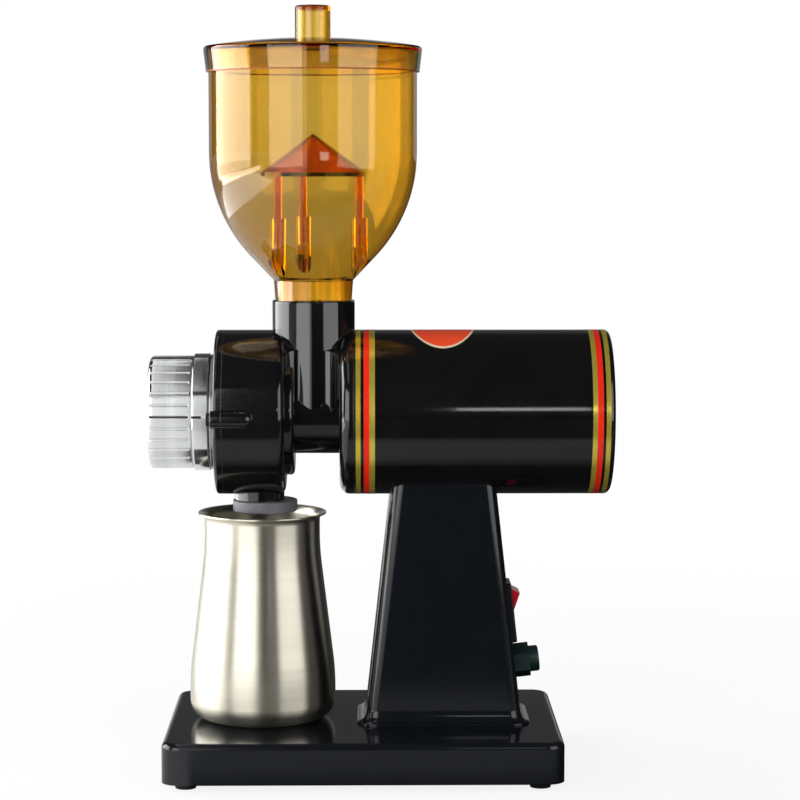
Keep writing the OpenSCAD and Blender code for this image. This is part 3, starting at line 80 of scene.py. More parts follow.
class Body(Enum):
    """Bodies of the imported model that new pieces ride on."""

    STAND = "stand"
    DIAL = "dial"
    LID = "lid"


class Axis(Enum):
    """Axes that a turned piece or a turned finish can run along."""

    X = (1.0, 0.0, 0.0)
    Z = (0.0, 0.0, 1.0)


class Kind(Enum):
    """Blender's names of the shader nodes that the finishes use."""

    OUTPUT = "ShaderNodeOutputMaterial"
    PRINCIPLED = "ShaderNodeBsdfPrincipled"
    ABSORPTION = "ShaderNodeVolumeAbsorption"
    COORDINATES = "ShaderNodeTexCoord"
    MAPPING = "ShaderNodeMapping"
    NOISE = "ShaderNodeTexNoise"
    RAMP = "ShaderNodeValToRGB"
    RANGE = "ShaderNodeMapRange"
    MATH = "ShaderNodeMath"
    SPLIT = "ShaderNodeSeparateXYZ"
    COMBINE = "ShaderNodeCombineXYZ"
    BUMP = "ShaderNodeBump"
    EDGE = "ShaderNodeBevel"
    TANGENT = "ShaderNodeTangent"
    EMISSION = "ShaderNodeEmission"
    DIFFUSE = "ShaderNodeBsdfDiffuse"
    BLEND = "ShaderNodeMixShader"
    LIGHT_PATH = "ShaderNodeLightPath"
    BACKGROUND = "ShaderNodeBackground"
    WORLD_OUTPUT = "ShaderNodeOutputWorld"


def linear(screen: Screen) -> Colour:
    """Turns a colour as a screen shows it into the linear colour that shaders take.

    Args:
        screen: Red, green and blue, each 0 to 255.

    Returns:
        The linear colour.
    """
    shares = [value / SCREEN_FULL for value in screen]
    return tuple(share / SCREEN_SLOPE if share <= SCREEN_KNEE
                 else ((share + SCREEN_OFFSET) / (1 + SCREEN_OFFSET)) ** SCREEN_POWER for share in shares)


class NodeTree:
    """Node tree of a material or of the world, with the few nodes that the finishes share."""

    EDGE_SAMPLES = 4

    def __init__(self, owner: bpy.types.ID) -> None:
        """Empties the owner's tree.

        Args:
            owner: Material or world that the tree belongs to.
        """
        owner.use_nodes = True
        self.nodes = owner.node_tree.nodes
        self.links = owner.node_tree.links
        self.nodes.clear()

    def add(self, kind: Kind, **settings: object) -> Node:
        """Adds a node.

        Args:
            kind: Kind of node.
            **settings: Settings of the node, by name.

        Returns:
            The node.
        """
        node = self.nodes.new(kind.value)
        for name, value in settings.items():
            setattr(node, name, value)
        return node

    def feed(self, target: Socket, source: object) -> None:
        """Links a socket into another one, or sets a plain value there.

        Args:
            target: Input socket.
            source: Output socket, number or colour.
        """
        if isinstance(source, Socket):
            self.links.new(source, target)
        elif isinstance(source, tuple) and target.type == "RGBA":
            target.default_value = (*source, 1.0)
        else:
            target.default_value = source

    def place(self, centre: Point) -> Socket:
        """Object coordinates with their origin moved to a centre.

        Args:
            centre: Origin of the pattern.

        Returns:
            The vector socket.
        """
        coordinates = self.add(Kind.COORDINATES)
        mapping = self.add(Kind.MAPPING)
        self.feed(mapping.inputs["Vector"], coordinates.outputs["Object"])
        self.feed(mapping.inputs["Location"], tuple(-place for place in centre))
        return mapping.outputs["Vector"]

    def math(self, operation: str, first: object, second: object = 0.0) -> Socket:
        """One sum of two values.

        Args:
            operation: Blender's name of the operation.
            first: First value or socket.
            second: Second value or socket.

        Returns:
            The result's socket.
        """
        node = self.add(Kind.MATH, operation=operation)
        self.feed(node.inputs[0], first)
        self.feed(node.inputs[1], second)
        return node.outputs["Value"]

    def distance(self, first: Socket, second: Socket) -> Socket:
        """Distance from an axis, out of the places along the two other axes."""
        squares = [self.math("MULTIPLY", place, place) for place in (first, second)]
        return self.math("SQRT", self.math("ADD", squares[0], squares[1]))

    def between(self, value: Socket, ends: Pair) -> Socket:
        """1 for a value between two ends, otherwise 0."""
        above = self.math("GREATER_THAN", value, ends[0])
        return self.math("MULTIPLY", above, self.math("LESS_THAN", value, ends[1]))

    def noise(self, where: Socket, scale: float, detail: float = 2.0) -> Socket:
        """Soft random pattern.

        Args:
            where: Coordinates.
            scale: Spots in a metre.
            detail: Layers of finer spots.

        Returns:
            The pattern's socket, 0 to 1.
        """
        node = self.add(Kind.NOISE)
        self.feed(node.inputs["Vector"], where)
        self.feed(node.inputs["Scale"], scale)
        self.feed(node.inputs["Detail"], detail)
        return node.outputs["Fac"]

    def ramp(self, factor: Socket, stops: list[tuple[float, Colour]]) -> Socket:
        """Colours along a factor.

        Args:
            factor: Factor, 0 to 1.
            stops: Places and colours, from low to high.

        Returns:
            The colour's socket.
        """
        node = self.add(Kind.RAMP)
        elements = node.color_ramp.elements
        while len(elements) < len(stops):
            elements.new(1.0)
        for element, (place, colour) in zip(elements, stops):
            element.position = place
            element.color = (*colour, 1.0)
        self.feed(node.inputs["Fac"], factor)
        return node.outputs["Color"]

    def span(self, factor: Socket, source: Pair, target: Pair) -> Socket:
        """Maps one range of values to another, held at its ends.

        Args:
            factor: Value to map.
            source: Range that it comes in.
            target: Range that it leaves in.

        Returns:
            The result's socket.
        """
        node = self.add(Kind.RANGE)
        for name, value in zip(("From Min", "From Max", "To Min", "To Max"), (*source, *target)):
            self.feed(node.inputs[name], value)
        self.feed(node.inputs["Value"], factor)
        return node.outputs["Result"]

    def graded(self, share: Socket, low: object, high: object) -> Socket:
        """Value between two others, by the share of the second one."""
        return self.span(share, (0.0, 1.0), (low, high))

    def relief(self, height: Socket, depth: float, edge: float) -> Socket:
        """Normal of a surface with a fine relief and softened edges.

        Args:
            height: Relief, 0 to 1.
            depth: Depth of the relief.
            edge: Radius of the softened edges.

        Returns:
            The normal's socket.
        """
        bump = self.add(Kind.BUMP)
        self.feed(bump.inputs["Height"], height)
        self.feed(bump.inputs["Distance"], depth)
        if edge > 0:
            soft = self.add(Kind.EDGE, samples=self.EDGE_SAMPLES)
            self.feed(soft.inputs["Radius"], edge)
            self.feed(bump.inputs["Normal"], soft.outputs["Normal"])
        return bump.outputs["Normal"]

    def glow(self, strength: object) -> Node:
        """White light that a surface gives off.

        Args:
            strength: Number or socket.

        Returns:
            The shader's node.
        """
        node = self.add(Kind.EMISSION)
        self.feed(node.inputs["Color"], WHITE)
        self.feed(node.inputs["Strength"], strength)
        return node

    def mixed(self, share: Socket, first: Node, second: Node) -> Node:
        """Mixes two shaders.

        Args:
            share: Share of the second one.
            first: First shader's node.
            second: Second shader's node.

        Returns:
            The mix's node.
        """
        blend = self.add(Kind.BLEND)
        self.feed(blend.inputs[0], share)
        self.feed(blend.inputs[1], first.outputs[0])
        self.feed(blend.inputs[2], second.outputs[0])
        return blend


def middle(node: str) -> Vector:
    """Middle of a CAD node's box at rest."""
    low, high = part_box(node)
    return (low + high) / 2


SHAFT = tuple(middle("motor_barrel"))
CUP_AXIS = tuple(middle("cup"))


@dataclass(frozen=True)
class Finish:
    """A finish with mottled colour and fine grain, the same in every direction.

    Attributes:
        name: Name of the material.
        dark: Darker of its two colours, as a screen shows it.
        light: Lighter of its two colours, as a screen shows it.
        metallic: 1 for a bare metal.
        rough: Lowest and highest roughness.
        grain: Grains in a metre.
        depth: Depth of the grain's relief.
        edge: Radius of softened edges.
        coat: Weight of a clear coat.
        centre: Origin of the pattern.
    """

    name: str
    dark: Screen
    light: Screen
    metallic: float = 0.0
    rough: Pair = (0.3, 0.4)
    grain: float = 900.0
    depth: float = 0.02 * MM
    edge: float = 0.4 * MM
    coat: float = 0.0
    centre: Point = ORIGIN

    # Grains across a patch of colour, layers of its noise, and the noise values that the two colours span
    MOTTLE = 12.0
    PATCH_DETAIL = 4.0
    MIDDLE = (0.3, 0.7)

    def where(self, tree: NodeTree) -> Socket:
        """Coordinates of the grain in a tree."""
        return tree.place(self.centre)

    def colour(self, tree: NodeTree, where: Socket) -> Socket:
        """Mottled colour between the finish's two colours.

        Args:
            tree: Tree of the material.
            where: Coordinates of the grain.

        Returns:
            The colour's socket.
        """
        patches = tree.noise(where, self.grain / self.MOTTLE, self.PATCH_DETAIL)
        return tree.ramp(patches, list(zip(self.MIDDLE, (linear(self.dark), linear(self.light)))))

    def build(self) -> bpy.types.Material:
        """Makes the material.

        Returns:
            The material.
        """
        material = bpy.data.materials.new(self.name)
        tree = NodeTree(material)
        output = tree.add(Kind.OUTPUT)
        shader = tree.add(Kind.PRINCIPLED)
        tree.feed(output.inputs["Surface"], shader.outputs["BSDF"])
        where = self.where(tree)
        grain = tree.noise(where, self.grain)
        tree.feed(shader.inputs["Base Color"], self.colour(tree, where))
        tree.feed(shader.inputs["Roughness"], tree.span(grain, self.MIDDLE, self.rough))
        tree.feed(shader.inputs["Normal"], tree.relief(grain, self.depth, self.edge))
        shader.inputs["Metallic"].default_value = self.metallic
        shader.inputs["Coat Weight"].default_value = self.coat
        self.extras(tree, shader, output)
        return material

    def extras(self, tree: NodeTree, shader: Node, output: Node) -> None:
        """Leaves the shader as it is; other finishes add to it here."""


@dataclass(frozen=True)
class Turned(Finish):
    """Metal with fine lines round an axis, as on a turned or spun piece; by default round the shaft.

    Attributes:
        axis: Axis of the piece.
        stretch: How many times longer than wide the lines are.
        smear: How strongly the lines draw reflections out across themselves, 0 to 1.
    """

    metallic: float = 1.0
    centre: Point = SHAFT
    axis: Axis = Axis.X
    stretch: float = 40.0
    smear: float = 0.0

    # Share of a turn that sets the smear across the lines
    ACROSS = 0.25

    def where(self, tree: NodeTree) -> Socket:
        """Coordinates that change slowly round the axis and quickly along and out from it.

        Args:
            tree: Tree of the material.

        Returns:
            The vector socket.
        """
        split = tree.add(Kind.SPLIT)
        tree.feed(split.inputs["Vector"], tree.place(self.centre))
        names = ["X", "Y", "Z"]
        along = names.pop(self.axis.value.index(1.0))
        radius = tree.distance(*(split.outputs[name] for name in names))
        round_share = tree.math("DIVIDE", split.outputs[names[0]], self.stretch)
        combined = tree.add(Kind.COMBINE)
        for name, source in zip("XYZ", (split.outputs[along], radius, round_share)):
            tree.feed(combined.inputs[name], source)
        return combined.outputs["Vector"]

    def extras(self, tree: NodeTree, shader: Node, output: Node) -> None:
        """Draws reflections out across the lines.

        Args:
            tree: Tree of the material.
            shader: Surface shader.
            output: Output of the material; not used.
        """
        if self.smear > 0:
            lines = tree.add(Kind.TANGENT, direction_type="RADIAL", axis=self.axis.name)
            tree.feed(shader.inputs["Tangent"], lines.outputs["Tangent"])
            shader.inputs["Anisotropic"].default_value = self.smear
            shader.inputs["Anisotropic Rotation"].default_value = self.ACROSS


@dataclass(frozen=True)
class ClearPlastic(Finish):
    """Clear moulded plastic whose colour deepens with its thickness.

    Attributes:
        tint: Linear colour that light keeps on its way through.
        density: How quickly the colour deepens.
        ior: Index of refraction.
    """

    rough: Pair = (0.02, 0.05)
    grain: float = 300.0
    depth: float = 0.001 * MM
    edge: float = 0.0
    tint: Colour = (0.946, 0.78, 0.06)
    density: float = 600.0
    ior: float = 1.49

    def extras(self, tree: NodeTree, shader: Node, output: Node) -> None:
        """Lets light through and colours it inside.

        Args:
            tree: Tree of the material.
            shader: Surface shader.
            output: Output of the material.
        """
        shader.inputs["Transmission Weight"].default_value = 1.0
        shader.inputs["IOR"].default_value = self.ior
        inside = tree.add(Kind.ABSORPTION)
        inside.inputs["Color"].default_value = (*self.tint, 1.0)
        inside.inputs["Density"].default_value = self.density
        tree.feed(output.inputs["Volume"], inside.outputs["Volume"])


def added(name: str, data: bpy.types.ID) -> bpy.types.Object:
    """Object with its data, linked into the scene."""
    thing = bpy.data.objects.new(name, data)
    bpy.context.scene.collection.objects.link(thing)
    return thing


def aimed(at: Vector, facing: Vector) -> Matrix:
    """Place of a lamp or camera that looks in a direction."""
    return Matrix.Translation(at) @ facing.to_track_quat("-Z", "Y").to_matrix().to_4x4()


FINISHES: dict[str, Finish] = {
    "gloss_black": Finish("gloss_black_enamel", (12, 12, 13), (17, 17, 18), rough=(0.07, 0.12),
                          grain=700.0, depth=0.002 * MM, edge=0.6 * MM, coat=0.5),
    "satin_black": Finish("satin_black_paint", (14, 17, 21), (17, 20, 25), rough=(0.08, 0.13),
                          grain=900.0, depth=0.0015 * MM, edge=0.8 * MM),
    "chrome": Turned("chrome_plate", (214, 216, 218), (232, 233, 234),
                     rough=(0.09, 0.15), grain=2500.0, depth=0.001 * MM),
    "dial_plate": Turned("satin_index_plate", (168, 171, 174), (192, 194, 196),
                         rough=(0.2, 0.32), grain=3000.0, depth=0.003 * MM),
    "amber": ClearPlastic("amber_plastic", (252, 250, 246), (255, 255, 255)),
    "cup_steel": Turned("spun_steel", (206, 201, 185), (213, 208, 193),
                        rough=(0.3, 0.33), grain=5000.0, depth=0.0002 * MM, centre=CUP_AXIS, axis=Axis.Z,
                        smear=0.8),
    "rubber": Finish("black_rubber", (20, 20, 21), (30, 30, 31), rough=(0.6, 0.75), grain=1500.0),
    "zinc_steel": Finish("zinc_plated_steel", (170, 172, 170), (198, 198, 192), metallic=1.0,
                         rough=(0.22, 0.36)),
    "black_steel": Finish("blackened_steel", (30, 30, 32), (48, 48, 50), metallic=0.6, rough=(0.25, 0.38)),
    "collar_grey": Finish("grey_collar_rubber", (92, 94, 100), (112, 113, 119), rough=(0.4, 0.55),
                          grain=1300.0),
    "switch_black": Finish("switch_plastic", (14, 14, 15), (21, 21, 22), rough=(0.25, 0.36)),
    "switch_red": Finish("red_rocker_plastic", (188, 14, 34), (206, 22, 40), rough=(0.16, 0.26),
                         grain=500.0, depth=0.004 * MM),
    "brass": Finish("brass_blade", (178, 140, 66), (202, 164, 84), metallic=1.0, rough=(0.22, 0.35)),
    "gland_green": Finish("green_black_nylon", (14, 34, 34), (20, 46, 45), rough=(0.28, 0.4), grain=1200.0),
    "plate_grey": Finish("grey_sheet_steel", (56, 58, 61), (68, 70, 73), metallic=0.7, rough=(0.35, 0.5)),
    "capacitor_can": Turned("drawn_aluminium", (196, 198, 200), (214, 215, 216),
                            rough=(0.25, 0.36), centre=tuple(middle("run_capacitor")), axis=Axis.Z),
    "ivory": Finish("ivory_plastic", (222, 216, 198), (234, 229, 214), rough=(0.35, 0.48)),
    "lamination": Turned("stacked_laminations", (96, 98, 102), (136, 138, 142),
                         rough=(0.3, 0.45), grain=1800.0, depth=0.03 * MM),
    "copper": Turned("wound_copper", (150, 78, 38), (196, 112, 62),
                     rough=(0.25, 0.4), grain=1400.0, depth=0.1 * MM, stretch=12.0),
    "bright_steel": Turned("ground_steel", (178, 180, 182), (204, 205, 206), rough=(0.12, 0.22)),
    "burr_steel": Finish("hardened_steel", (158, 160, 164), (186, 188, 190), metallic=1.0,
                         rough=(0.25, 0.38)),
    "cast_aluminium": Finish("cast_aluminium", (142, 144, 147), (172, 173, 175), metallic=1.0,
                             rough=(0.38, 0.52), grain=1100.0, depth=0.05 * MM),
    "seal_brown": Finish("brown_seal_rubber", (50, 36, 27), (64, 48, 37), rough=(0.5, 0.65)),
    "fan_black": Finish("fan_plastic", (26, 27, 28), (36, 37, 38), rough=(0.35, 0.5)),
}

NODE_FINISHES: dict[str, Finish] = {
    "bean_guard": ClearPlastic("orange_guard_plastic", (252, 248, 242), (255, 255, 255),
                               tint=(0.973, 0.713, 0.067), density=1500.0),
}


class Piece:
    """A new piece while it is modelled, with the operators that the pieces share."""

    # Faces that meet at less than SOFT_ANGLE are shaded softly; points closer than WELD are joined
    SOFT_ANGLE = math.radians(38.0)
    WELD = 0.0005 * MM
    TURN_STEPS = 160
    DISC_SIDES = 96
    SHEET_CUTS = 12
    EDGE_STEPS = 6
    CORNER_STEPS = 10
    ROUND_PROFILE = 0.5
    # A loop's edge is one of the straight ones if it is longer than the width less this many radii
    STRAIGHT_LESS = 2.5

    def __init__(self, name: str) -> None:
        """Starts an empty piece.

        Args:
            name: Name of the piece.
        """
        self.name = name
        self.shape = bmesh.new()

    def rounded(self, corners: list[bmesh.types.BMVert], radius: float, steps: int) -> None:
        """Rounds corners of a flat shape."""
        bmesh.ops.bevel(self.shape, geom=corners, offset=radius, offset_type="OFFSET", segments=steps,
                        profile=self.ROUND_PROFILE, affect="VERTICES", material=-1)

    def spun(self, corners: list[tuple[float, float, float]]) -> "Piece":
        """Turns a closed section round Z.

        Args:
            corners: Radius, height and rounding of each corner, in order round the section.

        Returns:
            The piece.
        """
        verts = [self.shape.verts.new((radius, 0.0, height)) for radius, height, _ in corners]
        self.shape.faces.new(verts)
        for vert, (_, _, rounding) in zip(verts, corners):
            if rounding > 0:
                self.rounded([vert], rounding, self.EDGE_STEPS)
        bmesh.ops.delete(self.shape, geom=self.shape.faces[:], context="FACES_ONLY")
        bmesh.ops.spin(self.shape, geom=self.shape.verts[:] + self.shape.edges[:], cent=ORIGIN,
                       axis=Axis.Z.value, angle=FULL_TURN, steps=self.TURN_STEPS, use_merge=True)
        return self.welded()

    def disc(self, shares: tuple[float, ...]) -> "Piece":
        """Flat disc or ring made of rings.

        Args:
            shares: Radii of the rings from the outside in; a last one of 0 closes the middle.

        Returns:
            The piece.
        """
        bmesh.ops.create_circle(self.shape, radius=shares[0], segments=self.DISC_SIDES)
        edges = self.shape.edges[:]
        for outer, inner in zip(shares, shares[1:]):
            made = bmesh.ops.extrude_edge_only(self.shape, edges=edges)["geom"]
            verts = [g for g in made if isinstance(g, bmesh.types.BMVert)]
            edges = [g for g in made if isinstance(g, bmesh.types.BMEdge)]
            bmesh.ops.scale(self.shape, vec=(inner / outer, inner / outer, 1.0), verts=verts)
        return self.welded()

    def sheet(self) -> "Piece":
        """Flat square of half side 1, cut both ways."""
        cuts = self.SHEET_CUTS
        bmesh.ops.create_grid(self.shape, x_segments=cuts, y_segments=cuts, size=1.0)
        return self

    def wrapped(self, half_length: float, half_angle: float, radius: float, thickness: float) -> "Piece":
        """Lays a flat shape of half size 1 on the top of a cylinder along X and thickens it.

        Args:
            half_length: Half of its length along the cylinder.
            half_angle: Half of the angle that it takes up round the cylinder.
            radius: Radius of its outside.
            thickness: Its thickness.

        Returns:
            The piece.
        """
        for vert in self.shape.verts:
            angle = vert.co.y * half_angle
            vert.co = (vert.co.x * half_length, radius * math.sin(angle), radius * math.cos(angle))
        bmesh.ops.recalc_face_normals(self.shape, faces=self.shape.faces[:])
        if sum(face.normal.z for face in self.shape.faces) < 0:
            bmesh.ops.reverse_faces(self.shape, faces=self.shape.faces[:])
        bmesh.ops.solidify(self.shape, geom=self.shape.faces[:], thickness=thickness)
        return self

    def rounded_loop(self, length: float, width: float, radius: float, at: Point,
                     cuts: int) -> list[bmesh.types.BMEdge]:
        """Loop of edges round a rectangle with rounded corners.

        Args:
            length: Its length along X.
            width: Its width along Y.
            radius: Radius of its corners.
            at: Its middle.
            cuts: Cuts in each of its two straight edges along Y.

        Returns:
            The loop's edges.
        """
        place = Matrix.Translation(at) @ Matrix.Diagonal((length, width, 1.0, 1.0))
        old = set(self.shape.edges)
        made = bmesh.ops.create_grid(self.shape, x_segments=1, y_segments=1, size=0.5, matrix=place)
        self.rounded(made["verts"], radius, self.CORNER_STEPS)
        bmesh.ops.delete(self.shape, geom=self.shape.faces[:], context="FACES_ONLY")
        straight = width - self.STRAIGHT_LESS * radius
        ends = [e for e in self.shape.edges if e not in old and e.calc_length() > straight
                and abs(e.verts[0].co.x - e.verts[1].co.x) < self.WELD]
        bmesh.ops.subdivide_edges(self.shape, edges=ends, cuts=cuts)
        return [e for e in self.shape.edges if e not in old]

    def welded(self) -> "Piece":
        """Joins doubled points and turns the faces outwards."""
        bmesh.ops.remove_doubles(self.shape, verts=self.shape.verts[:], dist=self.WELD)
        bmesh.ops.recalc_face_normals(self.shape, faces=self.shape.faces[:])
        return self

    def along_shaft(self) -> "Piece":
        """Turns a piece made round Z so that it runs along X."""
        return self.turned(math.pi / 2, "Y")

    def turned(self, angle: float, axis: str = "X") -> "Piece":
        """Turns a piece by an angle round an axis through the origin."""
        turn = Matrix.Rotation(angle, 3, axis)
        bmesh.ops.rotate(self.shape, verts=self.shape.verts[:], cent=ORIGIN, matrix=turn)
        return self

    def moved(self, to: Point) -> "Piece":
        """Moves a piece."""
        bmesh.ops.translate(self.shape, verts=self.shape.verts[:], vec=to)
        return self

    def finished(self, body: Body, slot: str, finish: Finish, dressing: "Dressing",
                 stands_for: tuple[str, ...] = ()) -> bpy.types.Object:
        """Makes the object, dresses it and lets it ride.

        Args:
            body: Body that it rides on.
            slot: Material slot of the record that it belongs to; not used.
            finish: Its finish.
            dressing: Keeper of the materials.
            stands_for: CAD nodes that it replaces.

        Returns:
            The object.
        """
        mesh = bpy.data.meshes.new(self.name)
        self.shape.to_mesh(mesh)
        self.shape.free()
        mesh.shade_smooth()
        mesh.set_sharp_from_angle(angle=self.SOFT_ANGLE)
        thing = added(self.name, mesh)
        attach(thing, body.value)
        if stands_for:
            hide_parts(*stands_for)
        dressing.dress(thing, finish)
        LOG.info("piece %s on %s: %s", self.name, body.value, finish.name)
        return thing


class Dressing:
    """Keeps the materials that are made and gives them to nodes and pieces."""

    def __init__(self) -> None:
        """Starts with no material made."""
        self.made: dict[str, bpy.types.Material] = {}

    def material(self, finish: Finish) -> bpy.types.Material:
        """Material of a finish, made once."""
        if finish.name not in self.made:
            self.made[finish.name] = finish.build()
        return self.made[finish.name]

    def dress(self, thing: bpy.types.Object, finish: Finish) -> None:
        """Gives an object one material all over.

        Args:
            thing: CAD node or new piece.
            finish: Its finish.
        """
        if not thing.material_slots:
            thing.data.materials.append(None)
        for slot in thing.material_slots:
            slot.link = "OBJECT"
            slot.material = self.material(finish)

    def dress_nodes(self) -> None:
        """Gives every CAD node the finish of its slot, or its own one."""
        for part in frame["record"]["subparts"]:
            node = part["node"]
            finish = NODE_FINISHES.get(node, FINISHES[part["material_slot"]])
            self.dress(frame["nodes"][node], finish)
            LOG.info("node %s: %s", node, finish.name)


@dataclass
class Column:
    """Tapering column between the base and the motor, with a foot flange and a saddle for the barrel.

    Attributes:
        base_l: Length at its foot.
        top_l: Length where its top reaches furthest up.
        width: Width across the machine.
        edge_r: Radius of the upright edges.
        wall: Wall thickness.
        flange: How far the foot flange stands out.
        flange_t: Thickness of the flange.
        nick: Chamfer of the flange's upper edge.
        fillet: Height of the sweep from the flange into the sides.
        fillet_steps: Steps of the sweep.
        saddle_cuts: Cuts across each end, which let its top follow the barrel.
        gap: Gap to the barrel.
    """

    base_l: float = 78.0 * MM
    top_l: float = 51.5 * MM
    width: float = 46.0 * MM
    edge_r: float = 6.0 * MM
    wall: float = 3.0 * MM
    flange: float = 4.0 * MM
    flange_t: float = 1.2 * MM
    nick: float = 0.4 * MM
    fillet: float = 6.0 * MM
    fillet_steps: int = 8
    saddle_cuts: int = 15
    gap: float = 0.05 * MM

    def build(self, dressing: Dressing) -> None:
        """Builds the column.

        Args:
            dressing: Keeper of the materials.
        """
        low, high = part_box("column")
        barrel_low, barrel_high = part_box("motor_barrel")
        barrel_r = (barrel_high.z - barrel_low.z) / 2 + self.gap
        shaft_z = (barrel_high.z + barrel_low.z) / 2
        lean = (self.base_l - self.top_l) / 2 / (high.z - low.z)
        piece = Piece("column_shell")
        loops = []
        for out, up in self.sections(high.z - low.z):
            length = self.base_l + 2 * out - 2 * lean * up
            at = ((low.x + high.x) / 2, 0.0, low.z + up)
            width = self.width + 2 * out
            loops.append(piece.rounded_loop(length, width, self.edge_r + out, at, self.saddle_cuts))
        top = {vert for edge in loops[-1] for vert in edge.verts}
        for below, above in zip(loops, loops[1:]):
            bmesh.ops.bridge_loops(piece.shape, edges=below + above)
        for vert in top:
            saddle = shaft_z - math.sqrt(barrel_r ** 2 - vert.co.y ** 2)
            side = math.copysign(1.0, vert.co.x - (low.x + high.x) / 2)
            vert.co.x += side * lean * (vert.co.z - saddle)
            vert.co.z = saddle
        bmesh.ops.recalc_face_normals(piece.shape, faces=piece.shape.faces[:])
        bmesh.ops.solidify(piece.shape, geom=piece.shape.faces[:], thickness=self.wall)
        piece.finished(Body.STAND, "satin_black", FINISHES["satin_black"], dressing, stands_for=("column",))

    def sections(self, height: float) -> list[Pair]:
        """How far out and how far up each section of the shell is.

        Args:
            height: Height of the column.

        Returns:
            The sections from the foot to the top.
        """
        rises = [(self.flange, 0.0), (self.flange, self.flange_t - self.nick)]
        for i in range(self.fillet_steps + 1):
            angle = math.pi / 2 * i / self.fillet_steps
            out = (self.flange - self.nick) * (1 - math.sin(angle))
            rises.append((out, self.flange_t + self.fillet * (1 - math.cos(angle))))
        return rises + [(0.0, height / 2), (0.0, height)]


@dataclass
class MotorTrim:
    """Stripes round the motor barrel and the blank badge on its top.

    Attributes:
        proud: How far the foil stands out of the enamel.
        sunk: How deep its inside lies in the enamel.
        badge_x: Distance of the badge's middle behind the barrel's front.
        badge_half_l: Half of its length along the motor.
        badge_half_angle: Half of the angle that it takes up round the motor.
        badge_border: Share of its half length that the border takes.
        badge_rings: Rings that its field is made of.
    """

    proud: float = 0.06 * MM
    sunk: float = 0.3 * MM
    badge_x: float = 44.0 * MM
    badge_half_l: float = 15.7 * MM
    badge_half_angle: float = math.radians(35.5)
    badge_border: float = 0.06
    badge_rings: int = 16

    GOLD = Turned("gold_foil", (244, 220, 76), (254, 236, 104), metallic=0.74, rough=(0.18, 0.25),
                  grain=1500.0, depth=0.001 * MM, edge=0.0)
    RED = Finish("red_foil", (226, 36, 18), (240, 48, 24), rough=(0.14, 0.22), grain=600.0,
                 depth=0.002 * MM, edge=0.0)
    BADGE = Finish("badge_red", (246, 74, 38), (252, 88, 48), rough=(0.14, 0.22), grain=600.0,
                   depth=0.002 * MM, edge=0.0)
    CREAM = Finish("cream_print", (222, 204, 168), (234, 218, 186), rough=(0.2, 0.3), edge=0.0)
    # Name of each stripe, its start and end behind the barrel's front in millimetres, and its finish
    STRIPES = (
        ("front_gold_outer", 1.0, 3.4, GOLD),
        ("front_red", 4.9, 7.7, RED),
        ("front_gold_inner", 7.7, 10.4, GOLD),
        ("rear_gold_inner", 116.3, 118.6, GOLD),
        ("rear_red", 118.6, 121.5, RED),
        ("rear_gold_outer", 122.8, 125.1, GOLD),
    )

    def build(self, dressing: Dressing) -> None:
        """Builds the stripes and the badge.

        Args:
            dressing: Keeper of the materials.
        """
        low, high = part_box("motor_barrel")
        radius = (high.z - low.z) / 2
        start = (low.x, 0.0, (low.z + high.z) / 2)
        outer, inner = radius + self.proud, radius - self.sunk
        for name, front, rear, finish in self.STRIPES:
            corners = [(inner, front * MM, 0.0), (outer, front * MM, 0.0), (outer, rear * MM, 0.0),
                       (inner, rear * MM, 0.0)]
            piece = Piece("stripe_" + name).spun(corners).along_shaft().moved(start)
            piece.finished(Body.STAND, "gloss_black", finish, dressing)
        rim = 1.0 - self.badge_border
        field = tuple(rim * (1 - i / self.badge_rings) for i in range(self.badge_rings + 1))
        layers = (("badge_border", (1.0, rim), self.CREAM), ("badge_field", field, self.BADGE))
        for name, shares, finish in layers:
            piece = Piece(name).disc(shares)
            piece.wrapped(self.badge_half_l, self.badge_half_angle, outer, self.sunk)
            piece.moved((start[0] + self.badge_x, start[1], start[2]))
            piece.finished(Body.STAND, "gloss_black", finish, dressing)


@dataclass
class LidEdgeShade:
    """Opaque bead round the lower edge of the lid's skirt, in a darker amber: painted shade that stands for
    the deeper colour which the clear skirt shows where light runs edge-on through it.

    Attributes:
        room: Gap between the bead and the hopper's wall.
        thick: Thickness of the bead.
        high: Height of the bead.
        edge_r: Radius of its lower edges.
        gap: Gap to the skirt above it.
    """

    room: float = 0.35 * MM
    thick: float = 0.9 * MM
    high: float = 0.7 * MM
    edge_r: float = 0.3 * MM
    gap: float = 0.02 * MM

    # Painted edge shade: an opaque darker amber in place of the colour that light takes on through the clear
    # skirt edge-on
    FINISH = Finish("painted_deep_amber_edge_shade", (146, 78, 30), (164, 92, 38), rough=(0.12, 0.2), edge=0.0)

    def build(self, dressing: Dressing) -> None:
        """Builds the bead.

        Args:
            dressing: Keeper of the materials.
        """
        low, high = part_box("hopper")
        inner = (high.x - low.x) / 2 + self.room
        outer = inner + self.thick
        corners = [(inner, 0.0, self.edge_r), (outer, 0.0, self.edge_r), (outer, self.high, 0.0),
                   (inner, self.high, 0.0)]
        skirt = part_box("hopper_lid")[0].z
        axis = middle("hopper_lid")
        piece = Piece("lid_painted_edge_shade").spun(corners)
        piece.moved((axis.x, axis.y, skirt - self.high - self.gap))
        piece.finished(Body.LID, "amber", self.FINISH, dressing)


